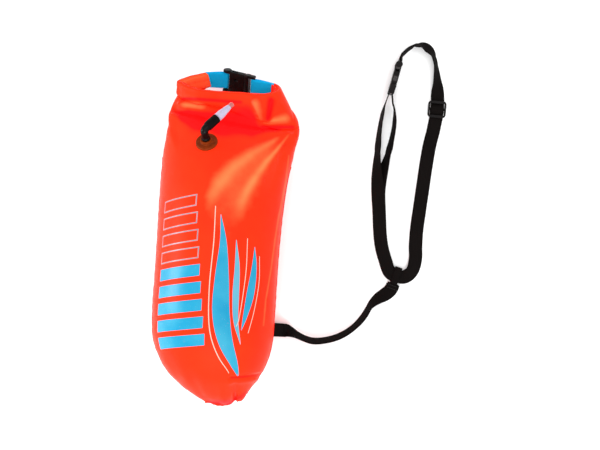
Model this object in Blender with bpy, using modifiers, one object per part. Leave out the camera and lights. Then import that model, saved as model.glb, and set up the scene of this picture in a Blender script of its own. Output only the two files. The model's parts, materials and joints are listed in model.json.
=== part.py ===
"""Open water swim buoy: an inflated roll-top tow bag with its valve, its leash and its waist belt.

The bag lies on its back. +X is its right side, +Y runs from the base to the roll-top closure,
+Z is the printed front with the valve. Z = 0 is the surface that it rests on. Metres.
"""
import math

import bmesh
import bpy
from mathutils import Matrix, Vector

# Bag: driving sizes
BODY_RADIUS = 0.110          # half the width of the round body
BODY_LENGTH = 0.551          # base weld to the front of the neck
NECK_Y = 0.249               # the neck's place along Y
BASE_Y = NECK_Y - BODY_LENGTH
BODY_TOP_Z = 0.208           # height of the body's crest
SKIN = 0.0008                # coated fabric of the outer bag
LINER_SKIN = 0.0006          # film of the inner dry compartment
FIT_GAP = 0.0003             # between pieces that touch
SEAM_WIDTH_SHARE = 0.045     # of the half girth, each side of the side seam
LINER_INSET = 0.012          # air between the outer bag and the dry compartment

# Along the body: share of BODY_LENGTH, then half width, sideways offset, top and bottom heights.
# Widths and offsets are shares of BODY_RADIUS, heights are shares of BODY_TOP_Z.
STATION_SHARES = (
    (0.000, 0.270, 0.24, 0.505, 0.470),
    (0.018, 0.400, 0.20, 0.600, 0.370),
    (0.050, 0.560, 0.12, 0.700, 0.270),
    (0.090, 0.740, 0.07, 0.800, 0.160),
    (0.140, 0.885, 0.045, 0.880, 0.070),
    (0.200, 0.975, 0.02, 0.950, 0.018),
    (0.270, 0.995, 0.01, 0.990, 0.000),
    (0.400, 0.997, 0.00, 1.000, 0.000),
    (0.560, 1.000, 0.00, 1.000, 0.000),
    (0.680, 1.020, 0.01, 0.985, 0.000),
    (0.760, 1.040, 0.03, 0.935, 0.015),
    (0.830, 1.082, 0.07, 0.850, 0.050),
    (0.880, 1.165, 0.16, 0.755, 0.100),
    (0.935, 1.210, 0.20, 0.655, 0.170),
    (1.000, 0.960, 0.00, 0.570, 0.250),
)
NECK_START_SHARE = 0.80      # of BODY_LENGTH, where the round body starts to fold into the roll
REST_SINK = 0.006            # how far the round underside is pressed flat
TAPE_THICKNESS = 0.0005
WELD_LENGTH = 0.006
WELD_THICKNESS = 0.0022
WELD_TAPER_SHARE = 0.72      # width of its free edge against its root
LINER_FIRST_ROW = 2          # counted in the panels' own rows, so that their facets match
LINER_FINE_ROW = 22
LINER_LAST_ROW = 23
LINER_SEAT_SHARES = (0.72, 0.80)   # of BODY_LENGTH, where its edges leave the side seams
LINER_SEAT_POWER = 8
LINER_SEAT_GAP = 0.0006

# Roll-top: a ring made by the rolled mouth, two tabs and the buckle
RING_HALF_WIDTH = 0.089
RING_HALF_DEPTH = 0.040
RING_CENTRE = (-0.002, 0.262, 0.080)
RING_TILT = math.radians(28.0)
ROLL_WIDTH = 0.028           # along the ring's axis
ROLL_THICKNESS = 0.013
ROLL_WALL = 0.0045
STIFFENER_THICKNESS = 0.0012
NECK_THICKNESS = 0.0060      # both skins of the flattened neck
RING_SHARES = (
    (-0.13, 1.20), (-0.42, 1.10), (-0.74, 0.80), (-0.94, 0.35), (-1.00, -0.20), (-0.86, -0.74),
    (-0.50, -0.98), (0.00, -1.00), (0.50, -0.98), (0.86, -0.76), (1.00, -0.30), (0.96, 0.12),
    (0.80, 0.38), (0.50, 0.60),
)
ROLL_LEFT_X_SHARE = -0.50    # of RING_HALF_WIDTH, where the roll ends behind, on each side
ROLL_RIGHT_X_SHARE = 0.86

# Webbing and buckles
WEBBING = 0.025
WEBBING_THICKNESS = 0.0015
TAB_WIDTH = 0.030
TAB_THICKNESS = 0.0014
BUCKLE_RAIL = 0.0045
BUCKLE_LENGTH = 0.060
BUCKLE_THICKNESS = 0.011
BUCKLE_BAR = 0.004           # bar that the webbing wraps
BUCKLE_SLOT = 0.0065         # gap behind that bar
BUCKLE_WALL = 0.0025         # skin over the prongs
MOUTH_X_SHARE = 0.17         # of BUCKLE_LENGTH, from its middle to the female half's mouth
PRONG_ARM = 0.0028
PRONG_PIVOT_RADIUS = 0.0015
PRONG_HEAD_LENGTH = 0.0100
PRONG_LENGTH = 0.0235        # pivot to tip
PRONG_PROUD = 0.0010         # how far the release pads stand out of the sides
TONGUE_WIDTH = 0.0050
WINDOW_PLAY = 0.0020         # room in the side windows, so that the prongs can swing
WEB_CLEAR = 0.0010           # each side of the webbing in its slot
EDGE_ROUND = 0.0010
DRAIN_LENGTH = 0.0075
DRAIN_WIDTH = 0.0035
ROOT_SHARE = 0.85
TAB_LAYER_GAP = 0.0004
TAB_STRAIGHT = 0.006         # of the tab's end, level with the buckle
TAB_LEVEL_SHARE = 1.3        # of the bar's width, where the level part starts

# Valve
VALVE_PLACE = (-0.030, 0.1605)
FLANGE_RADIUS = 0.0192
FLANGE_THICKNESS = 0.0016
SOCKET_RADIUS = 0.0098
SOCKET_HEIGHT = 0.0060
STEM_RADIUS = 0.0070
STEM_BORE = 0.0042
STEM_LENGTH = 0.0290
ARM_AXIS = (0.62, 0.70, -0.36)
SLEEVE_RADIUS = 0.0086
SLEEVE_LENGTH = 0.0330
MOUTHPIECE_LENGTH = 0.0310
MOUTHPIECE_RADIUS = 0.0076
MOUTHPIECE_TIP_RADIUS = 0.0046
MOUTHPIECE_BORE = 0.0026
TIP_LENGTH = 0.0080
POPPET_RADIUS = 0.0034
FLANGE_LIFT = 0.0010         # foam under the flange takes up the bag's curve
INNER_FLANGE_RADIUS = 0.0150
BARREL_RADIUS = 0.0078
BARREL_DEPTH = 0.0090
VALVE_HOLE_RADIUS = 0.0084
SEAL_RADIUS = 0.0011
KNUCKLE_RADIUS_SHARE = 1.04
POPPET_STEM_RADIUS = 0.0011
POPPET_STEM_LENGTH = 0.0110
POPPET_HEAD = 0.0016
SEAT_DEPTH = 0.0045
SPRING_WIRE = 0.0004
SPRING_TURNS = 4
SPRING_RADIUS = 0.0021
TWIST_NECK_LENGTH = 0.0070
INNER_DROP = 0.0028          # from the bag's outside to the flange behind the skin
ARM_TUBE_RADIUS = 0.0066
ARM_TUBE_BORE = 0.0040
ARM_TUBE_END = 0.0245
SLEEVE_START = 0.0080
NECK_RADIUS = 0.0060

# Leash anchor, leash and belt
ANCHOR_Y = -0.170
ANCHOR_ANGLE = math.radians(-42.0)
PATCH_SIZE = 0.046
PATCH_THICKNESS = 0.0012
ANCHOR_TAB_LENGTH = 0.012
RING_WIRE = 0.0020           # radius of the anchor ring's wire
RING_BAR_SPACING = 0.017
SLIDER_LENGTH = 0.031
SLIDER_WIDTH = 0.034
SLIDER_THICKNESS = 0.0034
SLIDER_BAR = 0.0046
FLOOR_CLEAR = 0.0003
RING_CORNER = 0.004
SLIDER_CORNER = 0.006
BAR_MARGIN = 0.0008          # the webbing stays level this far past a bar's edges
HITCH_CLEAR = 0.0025         # in the plane of the webbing
HITCH_HEAD_CLEAR = 0.0004    # above and below it
HITCH_LOW = 0.0022           # lowest face of the belt inside the hitch, as in the route
LEASH_END_RUN = 0.010

COLLECTION = "swim_buoy"
CUTTERS = "cutters"
OVERRUN = 0.002              # how far a cutter runs past the face it opens

# Fineness of the shapes
CURVE_STEPS = 5              # points between two points of a hand-set route
BAG_ROWS = 28
BAG_COLUMNS = 18
SEAM_ROWS = (1, 22)          # first and last of the panels' own rows
ROLL_STEPS = 28
STIFFENER_STEPS_IN = 1       # steps of the roll by which the strips end inside it
TAB_STEPS = 9
SPRING_STEPS = 12
ELBOW_SIDES = 16
ELBOW_BENDS = 6
PATCH_STEPS = 8
RING_CORNER_STEPS = 4
SLIDER_CORNER_STEPS = 5
SOLVE_ROUNDS = 30
MERGE = 0.00001
SLOPE_STEP_SHARE = 0.01      # step for measuring the bag's slopes


def clear_scene():
    for old in list(bpy.data.objects):
        bpy.data.objects.remove(old, do_unlink=True)
    for name in (COLLECTION, CUTTERS):
        collection = bpy.data.collections.new(name)
        bpy.context.scene.collection.children.link(collection)


def material(name, colour, roughness, metallic=0.0):
    made = bpy.data.materials.new(name)
    made.use_nodes = True
    shader = made.node_tree.nodes["Principled BSDF"]
    shader.inputs["Base Color"].default_value = (*colour, 1.0)
    shader.inputs["Roughness"].default_value = roughness
    shader.inputs["Metallic"].default_value = metallic
    made.diffuse_color = (*colour, 1.0)
    return made


def add_object(name, mesh, finish=None, collection=COLLECTION):
    made = bpy.data.objects.new(name, mesh)
    bpy.data.collections[collection].objects.link(made)
    if finish is not None:
        mesh.materials.append(finish)
    return made


def mesh_from(name, build):
    """A mesh filled by build(bm), with its faces pointing out."""
    bm = bmesh.new()
    build(bm)
    bmesh.ops.recalc_face_normals(bm, faces=bm.faces)
    mesh = bpy.data.meshes.new(name)
    bm.to_mesh(mesh)
    bm.free()
    return mesh


def smoothstep(value):
    value = min(max(value, 0.0), 1.0)
    return value * value * (3.0 - 2.0 * value)


def catmull(before, start, end, after, t):
    return 0.5 * (
        2.0 * start
        + (end - before) * t
        + (2.0 * before - 5.0 * start + 4.0 * end - after) * t ** 2
        + (3.0 * start - before - 3.0 * end + after) * t ** 3
    )


def smooth_path(points, steps=CURVE_STEPS):
    """Points on a smooth curve through the given vectors."""
    ends = [2.0 * points[0] - points[1]] + list(points) + [2.0 * points[-1] - points[-2]]
    path = []
    for i in range(len(points) - 1):
        path += [catmull(*ends[i:i + 4], step / steps) for step in range(steps)]
    return path + [points[-1].copy()]


def station(t):
    """Half width, sideways offset, top and bottom of the round body at share t of its length."""
    rows = STATION_SHARES
    index = max(i for i in range(len(rows) - 1) if rows[i][0] <= t)
    picked = [rows[min(max(index + k, 0), len(rows) - 1)] for k in (-1, 0, 1, 2)]
    local = (t - picked[1][0]) / (picked[2][0] - picked[1][0])
    values = []
    for column in range(1, 5):
        before, start, end, after = (row[column] for row in picked)
        slope_in = (end - before) / (picked[2][0] - picked[0][0]) if index > 0 else 0.0
        slope_out = (after - start) / (picked[3][0] - picked[1][0]) if picked[3] is not picked[2] else 0.0
        span = picked[2][0] - picked[1][0]
        if index == 0:
            slope_in = (end - start) / span
        if picked[3] is picked[2]:
            slope_out = (end - start) / span
        h = local
        values.append(
            start * (2 * h ** 3 - 3 * h ** 2 + 1)
            + slope_in * span * (h ** 3 - 2 * h ** 2 + h)
            + end * (3 * h ** 2 - 2 * h ** 3)
            + slope_out * span * (h ** 3 - h ** 2)
        )
    half_width, offset, top, bottom = values
    return (
        half_width * BODY_RADIUS,
        offset * BODY_RADIUS,
        top * BODY_TOP_Z,
        bottom * (BODY_TOP_Z + REST_SINK) - REST_SINK,
    )


X_AXIS = Vector((1.0, 0.0, 0.0))
Y_AXIS = Vector((0.0, 1.0, 0.0))
Z_AXIS = Vector((0.0, 0.0, 1.0))

# The ring of the roll-top, in its own tilted plane
RING_DEPTH_AXIS = Vector((0.0, math.sin(RING_TILT), -math.cos(RING_TILT)))
RING_AXIS = Vector((0.0, math.cos(RING_TILT), math.sin(RING_TILT)))


def ring_world(across, depth, along=0.0):
    return (
        Vector(RING_CENTRE)
        + Vector((1.0, 0.0, 0.0)) * across
        + RING_DEPTH_AXIS * depth
        + RING_AXIS * along
    )


def ring_line():
    points = [Vector((x * RING_HALF_WIDTH, d * RING_HALF_DEPTH)) for x, d in RING_SHARES]
    return smooth_path(points)


RING_LINE = ring_line()
RING_ARC = [0.0]
for first, second in zip(RING_LINE, RING_LINE[1:]):
    RING_ARC.append(RING_ARC[-1] + (second - first).length)


def ring_at(arc):
    """Point and outward normal of the ring's middle line at an arc length."""
    arc = min(max(arc, 0.0), RING_ARC[-1])
    index = max(i for i in range(len(RING_ARC) - 1) if RING_ARC[i] <= arc)
    share = (arc - RING_ARC[index]) / (RING_ARC[index + 1] - RING_ARC[index])
    point = RING_LINE[index].lerp(RING_LINE[index + 1], share)
    low = RING_LINE[max(index - 1, 0)]
    high = RING_LINE[min(index + 2, len(RING_LINE) - 1)]
    along = (high - low).normalized()
    normal = Vector((along.y, -along.x))
    return point, normal * -1.0 if normal.dot(point) < 0.0 else normal


def arc_at_x(across, last):
    """Arc length where the ring line passes a sideways place, at its first or last passing."""
    crossings = [
        RING_ARC[i]
        for i in range(len(RING_LINE) - 1)
        if (RING_LINE[i].x - across) * (RING_LINE[i + 1].x - across) <= 0.0
    ]
    return crossings[-1] if last else crossings[0]


ROLL_START = arc_at_x(ROLL_LEFT_X_SHARE * RING_HALF_WIDTH, last=False)
ROLL_END = arc_at_x(ROLL_RIGHT_X_SHARE * RING_HALF_WIDTH, last=True)


def neck_fold(t):
    """How far the section at t has changed from the round body to the roll's ring."""
    return smoothstep((t - NECK_START_SHARE) / (1.0 - NECK_START_SHARE))


def middle_point(t, u, inset):
    """Point midway between the front and the back skin."""
    half_width, offset, top, bottom = station(t)
    x = offset + (half_width - inset) * math.cos(math.pi * (1.0 - u) / 2.0)
    round_point = Vector((x, BASE_Y + BODY_LENGTH * t, (top + bottom) / 2.0))
    fold = neck_fold(t)
    if fold <= 0.0:
        return round_point
    flat, _ = ring_at(ROLL_START + (ROLL_END - ROLL_START) * (u + 1.0) / 2.0)
    return round_point.lerp(ring_world(flat.x, flat.y, -ROLL_WIDTH / 2.0 - FIT_GAP), fold)


def bag_point(t, u, side, inset):
    """Point on the bag: t along it, u across from -1 to 1, side 1 on the front and -1 behind."""
    _, _, top, bottom = station(t)
    fold = neck_fold(t)
    _, normal = ring_at(ROLL_START + (ROLL_END - ROLL_START) * (u + 1.0) / 2.0)
    swing = math.atan2(normal.x, -normal.y) * fold
    front = Z_AXIS.lerp(-RING_DEPTH_AXIS, fold).normalized()
    outward = front * math.cos(swing) + X_AXIS * math.sin(swing)
    bulge = ((top - bottom) / 2.0 - inset) * math.sin(math.pi * (1.0 - u) / 2.0)
    thin = max(NECK_THICKNESS / 2.0 - inset, SKIN / 2.0)
    depth = FIT_GAP * (0.5 + fold * (1.0 - fold)) + bulge + (thin - bulge) * fold
    point = middle_point(t, u, inset) + outward * depth * side
    point.z = max(point.z, inset)
    return point


def add_grid(bm, rows):
    return [[bm.verts.new(p) for p in row] for row in rows]


def stitch(bm, first, second, closed=False):
    count = len(first) if closed else len(first) - 1
    for i in range(count):
        j = (i + 1) % len(first)
        corners = (first[i], first[j], second[j], second[i])
        rising = (corners[0].co - corners[2].co).length
        falling = (corners[1].co - corners[3].co).length
        if rising > falling + MERGE:
            corners = corners[1:] + corners[:1]
        bm.faces.new((corners[0], corners[1], corners[2]))
        bm.faces.new((corners[0], corners[2], corners[3]))


def shell_mesh(name, outer_rows, inner_rows):
    """A skin between two open grids of points, closed along its four edges."""
    def build(bm):
        outer = add_grid(bm, outer_rows)
        inner = add_grid(bm, inner_rows)
        for grid in (outer, inner):
            for low, high in zip(grid, grid[1:]):
                stitch(bm, low, high)
        for row in (0, -1):
            stitch(bm, outer[row], inner[row])
        for column in (0, -1):
            stitch(bm, [r[column] for r in outer], [r[column] for r in inner])
    return mesh_from(name, build)


def sweep_mesh(name, rings, hollow_rings=None):
    """A solid through closed rings of points, or a tube between outer and inner rings."""
    def build(bm):
        outer = add_grid(bm, rings)
        for low, high in zip(outer, outer[1:]):
            stitch(bm, low, high, closed=True)
        if hollow_rings is None:
            bm.faces.new(outer[0])
            bm.faces.new(outer[-1])
            return
        inner = add_grid(bm, hollow_rings)
        for low, high in zip(inner, inner[1:]):
            stitch(bm, low, high, closed=True)
        stitch(bm, outer[0], inner[0], closed=True)
        stitch(bm, outer[-1], inner[-1], closed=True)
    return mesh_from(name, build)


def shares(count):
    return [i / count for i in range(count + 1)]


def build_panel(name, side, finish):
    rows = [t for t in shares(BAG_ROWS)]
    columns = [2.0 * s - 1.0 for s in shares(BAG_COLUMNS)]
    outer = [[bag_point(t, u, side, 0.0) for u in columns] for t in rows]
    inner = [[bag_point(t, u, side, SKIN) for u in columns] for t in rows]
    return add_object(name, shell_mesh(name, outer, inner), finish)


def build_side_seam(name, hand, finish):
    """A welded tape over the edge where the two panels meet."""
    around = [(1.0 - SEAM_WIDTH_SHARE, 1), (1.0 - SEAM_WIDTH_SHARE / 2.0, 1), (1.0, 1),
              (1.0, -1), (1.0 - SEAM_WIDTH_SHARE / 2.0, -1), (1.0 - SEAM_WIDTH_SHARE, -1)]
    rows = [i / BAG_ROWS for i in range(SEAM_ROWS[0], SEAM_ROWS[1] + 1)]

    def skin(inset):
        return [[bag_point(t, hand * u, side, inset) for u, side in around] for t in rows]
    mesh = shell_mesh(name, skin(-FIT_GAP - TAPE_THICKNESS), skin(-FIT_GAP))
    return add_object(name, mesh, finish)


def build_base_weld(finish):
    half_width, offset, top, bottom = station(0.0)
    mesh = bpy.data.meshes.new("base_weld")
    bm = bmesh.new()
    bmesh.ops.create_cube(bm, size=1.0)
    bmesh.ops.scale(bm, vec=(2.0 * half_width, WELD_LENGTH, WELD_THICKNESS), verts=bm.verts)
    free = [v for v in bm.verts if v.co.y < 0.0]
    bmesh.ops.scale(bm, vec=(WELD_TAPER_SHARE, 1.0, 1.0), verts=free)
    bm.to_mesh(mesh)
    bm.free()
    made = add_object("base_weld", mesh, finish)
    made.location = (offset, BASE_Y - FIT_GAP - WELD_LENGTH / 2.0, (top + bottom) / 2.0)
    bevel(made, WELD_THICKNESS / 3.0)
    return made


def build_liner(finish):
    """The dry compartment: a thin bag inside, open at the neck, its edges caught in the side seams."""
    low, high = LINER_SEAT_SHARES

    def inset(t, u):
        seat = abs(u) ** LINER_SEAT_POWER * (1.0 - smoothstep((t - low) / (high - low)))
        return SKIN + LINER_SEAT_GAP + LINER_INSET * (1.0 - seat)

    columns = [2.0 * s - 1.0 for s in shares(BAG_COLUMNS)]
    around = [(u, 1) for u in columns] + [(u, -1) for u in reversed(columns)]
    rows = [i / BAG_ROWS for i in range(LINER_FIRST_ROW, LINER_FINE_ROW, 2)]
    rows += [i / BAG_ROWS for i in range(LINER_FINE_ROW, LINER_LAST_ROW + 1)]

    def build(bm):
        outer = add_grid(bm, [[bag_point(t, u, side, inset(t, u)) for u, side in around] for t in rows])
        inner = add_grid(bm, [
            [bag_point(t, u, side, inset(t, u) + LINER_SKIN) + floor for u, side in around]
            for t, floor in zip(rows, [Vector((0.0, LINER_SKIN, 0.0))] + [Vector()] * len(rows))
        ])
        for grid in (outer, inner):
            for low, high in zip(grid, grid[1:]):
                stitch(bm, low, high, closed=True)
            bm.faces.new(grid[0])
        stitch(bm, outer[-1], inner[-1], closed=True)
    return add_object("dry_liner", mesh_from("dry_liner", build), finish)


def bevel(made, width, segments=2, angle=math.radians(40.0)):
    modifier = made.modifiers.new("edges", "BEVEL")
    modifier.width = width
    modifier.segments = segments
    modifier.limit_method = "ANGLE"
    modifier.angle_limit = angle
    modifier.use_clamp_overlap = True


def rounded_section(half_thickness, half_width, corner, steps=3):
    """Corner points of a rounded rectangle, thickness first, counter-clockwise."""
    points = []
    for quarter, (a, b) in enumerate(((1, 1), (-1, 1), (-1, -1), (1, -1))):
        for step in range(steps + 1):
            angle = math.pi / 2.0 * (quarter + step / steps)
            points.append((
                a * (half_thickness - corner) + corner * math.cos(angle),
                b * (half_width - corner) + corner * math.sin(angle),
            ))
    return points


def roll_rings(section, start, end, steps=ROLL_STEPS):
    rings = []
    for share in shares(steps):
        point, normal = ring_at(start + (end - start) * share)
        rings.append([
            ring_world(point.x + normal.x * a, point.y + normal.y * a, b) for a, b in section
        ])
    return rings


def build_roll(finish):
    """The rolled mouth, as a sleeve of wound layers with the stiffeners in its core."""
    outer = rounded_section(ROLL_THICKNESS / 2.0, ROLL_WIDTH / 2.0, ROLL_THICKNESS / 2.2)
    core_corner = ROLL_THICKNESS / 2.0 - ROLL_WALL
    inner = rounded_section(core_corner, ROLL_WIDTH / 2.0 - ROLL_WALL, core_corner / 2.0)
    mesh = sweep_mesh(
        "roll_top", roll_rings(outer, ROLL_START, ROLL_END), roll_rings(inner, ROLL_START, ROLL_END)
    )
    return add_object("roll_top", mesh, finish)


def build_stiffener(name, hand, finish):
    middle = hand * (STIFFENER_THICKNESS + FIT_GAP) / 2.0
    half = STIFFENER_THICKNESS / 2.0
    width = ROLL_WIDTH / 2.0 - ROLL_WALL - FIT_GAP
    corners = ((1, 1), (-1, 1), (-1, -1), (1, -1))
    section = [(middle + half * a, width * b) for a, b in corners]
    rings = roll_rings(section, ROLL_START, ROLL_END)[STIFFENER_STEPS_IN:-STIFFENER_STEPS_IN]
    return add_object(name, sweep_mesh(name, rings), finish)


def ribbon_mesh(name, points, width_axes, width, thickness):
    """Webbing along a route: a flat section whose width follows the given axes."""
    rings = []
    for i, (point, axis) in enumerate(zip(points, width_axes)):
        along = points[min(i + 1, len(points) - 1)] - points[max(i - 1, 0)]
        along.normalize()
        across = (axis - along * axis.dot(along)).normalized()
        through = along.cross(across)
        rings.append([
            point + across * a * width / 2.0 + through * b * thickness / 2.0
            for a, b in ((1, 1), (-1, 1), (-1, -1), (1, -1))
        ])
    return sweep_mesh(name, rings)


def hairpin(edge, inward, aside, radius, steps=8):
    """Half turn of webbing round a bar's inner edge, from its +aside face to its -aside face."""
    return [
        edge + inward * radius * math.sin(math.pi * s) + aside * radius * math.cos(math.pi * s)
        for s in shares(steps)
    ]


# Side-release buckle, in its own frame: X from the female half to the male one, Y across, Z through
class Buckle:
    def __init__(self, label, webbing, webbing_thickness, place):
        self.label = label
        self.place = place
        self.slot_half = webbing / 2.0 + WEB_CLEAR
        self.half_width = self.slot_half + BUCKLE_RAIL
        self.half_length = BUCKLE_LENGTH / 2.0
        self.half_thickness = BUCKLE_THICKNESS / 2.0
        self.cavity_half = self.half_thickness - BUCKLE_WALL
        self.mouth = MOUTH_X_SHARE * BUCKLE_LENGTH
        self.bar_edge = self.half_length - BUCKLE_BAR
        self.slot_edge = self.bar_edge - BUCKLE_SLOT
        self.bend_radius = BUCKLE_BAR / 2.0 + FIT_GAP + webbing_thickness / 2.0
        self.pivot_x = self.mouth - PRONG_PIVOT_RADIUS
        self.pivot_y = self.slot_half - PRONG_PIVOT_RADIUS - FIT_GAP
        self.tip_x = self.pivot_x - PRONG_LENGTH

    def box(self, name, low, high, collection=COLLECTION, finish=None):
        centre = [(a + b) / 2.0 for a, b in zip(low, high)]
        size = [b - a for a, b in zip(low, high)]
        bm = bmesh.new()
        bmesh.ops.create_cube(bm, size=1.0)
        bmesh.ops.scale(bm, vec=size, verts=bm.verts)
        bmesh.ops.translate(bm, vec=centre, verts=bm.verts)
        mesh = bpy.data.meshes.new(name)
        bm.to_mesh(mesh)
        bm.free()
        made = add_object(name, mesh, finish, collection)
        made.matrix_world = self.place
        if collection == CUTTERS:
            as_cutter(made)
        return made

    def cut(self, made, label, low, high):
        cutter = self.box(f"{made.name}_{label}", low, high, CUTTERS)
        subtract(made, cutter)

    def trim_bar(self, made, hand):
        """Opens the webbing slot and thins the bar behind it."""
        far = hand * (self.half_length + OVERRUN)
        ends = sorted((hand * self.slot_edge, hand * self.bar_edge))
        self.cut(
            made, "slot",
            (ends[0], -self.slot_half, -self.half_thickness - OVERRUN),
            (ends[1], self.slot_half, self.half_thickness + OVERRUN),
        )
        outer = sorted((hand * (self.bar_edge - OVERRUN / 2.0), far))
        for level in (1, -1):
            heights = sorted((level * BUCKLE_BAR / 2.0, level * (self.half_thickness + OVERRUN)))
            self.cut(
                made, f"bar_{'top' if level > 0 else 'bottom'}",
                (outer[0], -self.slot_half, heights[0]),
                (outer[1], self.slot_half, heights[1]),
            )

    def female(self, finish):
        made = self.box(
            f"{self.label}_socket",
            (-self.half_length, -self.half_width, -self.half_thickness),
            (self.mouth, self.half_width, self.half_thickness),
            finish=finish,
        )
        bevel(made, EDGE_ROUND)
        back = self.tip_x - WINDOW_PLAY
        self.cut(
            made, "cavity",
            (back, -self.slot_half, -self.cavity_half),
            (self.mouth + OVERRUN, self.slot_half, self.cavity_half),
        )
        self.cut(
            made, "windows",
            (back, -self.half_width - OVERRUN, -self.cavity_half),
            (self.tip_x + PRONG_HEAD_LENGTH + FIT_GAP, self.half_width + OVERRUN, self.cavity_half),
        )
        self.cut(
            made, "drain",
            (self.tip_x + TONGUE_WIDTH, TONGUE_WIDTH, -self.half_thickness - OVERRUN),
            (self.tip_x + TONGUE_WIDTH + DRAIN_LENGTH, TONGUE_WIDTH + DRAIN_WIDTH,
             self.half_thickness + OVERRUN),
        )
        self.trim_bar(made, -1)
        return made

    def male(self, finish):
        made = self.box(
            f"{self.label}_clip",
            (self.mouth + FIT_GAP, -self.half_width, -self.half_thickness),
            (self.half_length, self.half_width, self.half_thickness),
            finish=finish,
        )
        bevel(made, EDGE_ROUND)
        tongue = self.box(
            f"{self.label}_tongue",
            (self.tip_x + TONGUE_WIDTH, -TONGUE_WIDTH / 2.0, -self.cavity_half + FIT_GAP),
            (self.mouth + OVERRUN, TONGUE_WIDTH / 2.0, self.cavity_half - FIT_GAP),
            CUTTERS,
        )
        join = made.modifiers.new("tongue", "BOOLEAN")
        join.operation = "UNION"
        join.solver = "EXACT"
        join.object = tongue
        self.trim_bar(made, 1)
        return made

    def prong(self, hand, finish):
        """A springy arm from a round root, with a barbed head that shows as the release pad."""
        reach = self.half_width + PRONG_PROUD
        inner = self.pivot_y - PRONG_ARM / 2.0
        outer = self.pivot_y + PRONG_ARM / 2.0
        head_end = self.tip_x + PRONG_HEAD_LENGTH
        outline = [
            (self.pivot_x, inner), (self.tip_x, inner), (self.tip_x, outer + PRONG_ARM / 2.0),
            (self.tip_x + PRONG_HEAD_LENGTH / 3.0, reach), (head_end, reach), (head_end, outer),
            (self.pivot_x, outer),
        ]
        root = [
            (self.pivot_x + PRONG_PIVOT_RADIUS * math.sin(math.pi * s) * ROOT_SHARE,
             self.pivot_y + PRONG_ARM / 2.0 * math.cos(math.pi * s))
            for s in (0.25, 0.5, 0.75)
        ]
        outline += root
        half = self.cavity_half - FIT_GAP
        name = f"{self.label}_prong_{'upper' if hand > 0 else 'lower'}"
        pivot = Vector((self.pivot_x, hand * self.pivot_y, 0.0))
        rings = [
            [Vector((x, hand * y, level * half)) - pivot for x, y in outline] for level in (-1, 1)
        ]
        made = add_object(name, sweep_mesh(name, rings), finish)
        made.matrix_world = self.place @ Matrix.Translation(pivot)
        return made


def as_cutter(made):
    made.display_type = "WIRE"
    made.hide_render = True


def subtract(made, cutter):
    cut = made.modifiers.new(cutter.name, "BOOLEAN")
    cut.operation = "DIFFERENCE"
    cut.solver = "EXACT"
    cut.object = cutter


def frame_matrix(centre, x_axis, y_axis):
    """A placing matrix from a centre, an X axis and a Y axis square to it."""
    x = x_axis.normalized()
    y = (y_axis - x * y_axis.dot(x)).normalized()
    z = x.cross(y)
    made = Matrix((x, y, z)).transposed().to_4x4()
    made.translation = centre
    return made


def closure_place():
    """The closure buckle spans the gap at the back of the ring, its width along the ring's axis."""
    left = ring_world(RING_SHARES[0][0] * RING_HALF_WIDTH, RING_SHARES[0][1] * RING_HALF_DEPTH)
    right = ring_world(RING_SHARES[-1][0] * RING_HALF_WIDTH, RING_SHARES[-1][1] * RING_HALF_DEPTH)
    return frame_matrix((left + right) / 2.0, right - left, RING_AXIS)


def build_tab(name, buckle, hand, finish):
    """Webbing from the roll's end, round the buckle's bar and back."""
    start = ROLL_START - FIT_GAP if hand < 0 else ROLL_END + FIT_GAP
    end = 0.0 if hand < 0 else RING_ARC[-1]
    place = buckle.place
    inward = place.to_3x3() @ Vector((-hand, 0.0, 0.0))
    aside = place.to_3x3() @ Vector((0.0, 0.0, 1.0))
    near = (TAB_THICKNESS + TAB_LAYER_GAP) / 2.0
    leg = []
    short = end - hand * TAB_STRAIGHT
    for share in shares(TAB_STEPS):
        point, normal = ring_at(start + (short - start) * share)
        direction = ring_world(normal.x, normal.y) - Vector(RING_CENTRE)
        if direction.dot(aside) < 0.0:
            direction.negate()
        spread = near + (buckle.bend_radius - near) * smoothstep(share)
        leg.append((ring_world(point.x, point.y), direction, spread))
    edge = place @ Vector((hand * buckle.bar_edge, 0.0, 0.0))
    leg.append((edge - inward * BUCKLE_BAR * TAB_LEVEL_SHARE, aside, buckle.bend_radius))
    points = [p + d * s for p, d, s in leg]
    points += hairpin(edge, inward, aside, buckle.bend_radius)
    points += [p - d * s for p, d, s in reversed(leg)]
    mesh = ribbon_mesh(name, points, [RING_AXIS] * len(points), TAB_WIDTH, TAB_THICKNESS)
    return add_object(name, mesh, finish)


def solve_on_front(x, y):
    """The front panel's (t, u) above a place seen from +Z, by bisection."""
    t = (y - BASE_Y) / BODY_LENGTH
    u = 0.0
    for _ in range(SOLVE_ROUNDS):
        here = bag_point(t, u, 1, 0.0)
        t += (y - here.y) / BODY_LENGTH
        u += (x - here.x) / (math.pi / 2.0 * BODY_RADIUS)
    return t, u


def front_frame(x, y, along):
    """Placing matrix on the front panel: Z is its outward normal, X as near `along` as it goes."""
    t, u = solve_on_front(x, y)
    d = SLOPE_STEP_SHARE
    down = bag_point(t + d, u, 1, 0.0) - bag_point(t - d, u, 1, 0.0)
    across = bag_point(t, u + d, 1, 0.0) - bag_point(t, u - d, 1, 0.0)
    normal = across.cross(down).normalized()
    x_axis = (along - normal * along.dot(normal)).normalized()
    return frame_matrix(bag_point(t, u, 1, 0.0), x_axis, normal.cross(x_axis))


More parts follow.
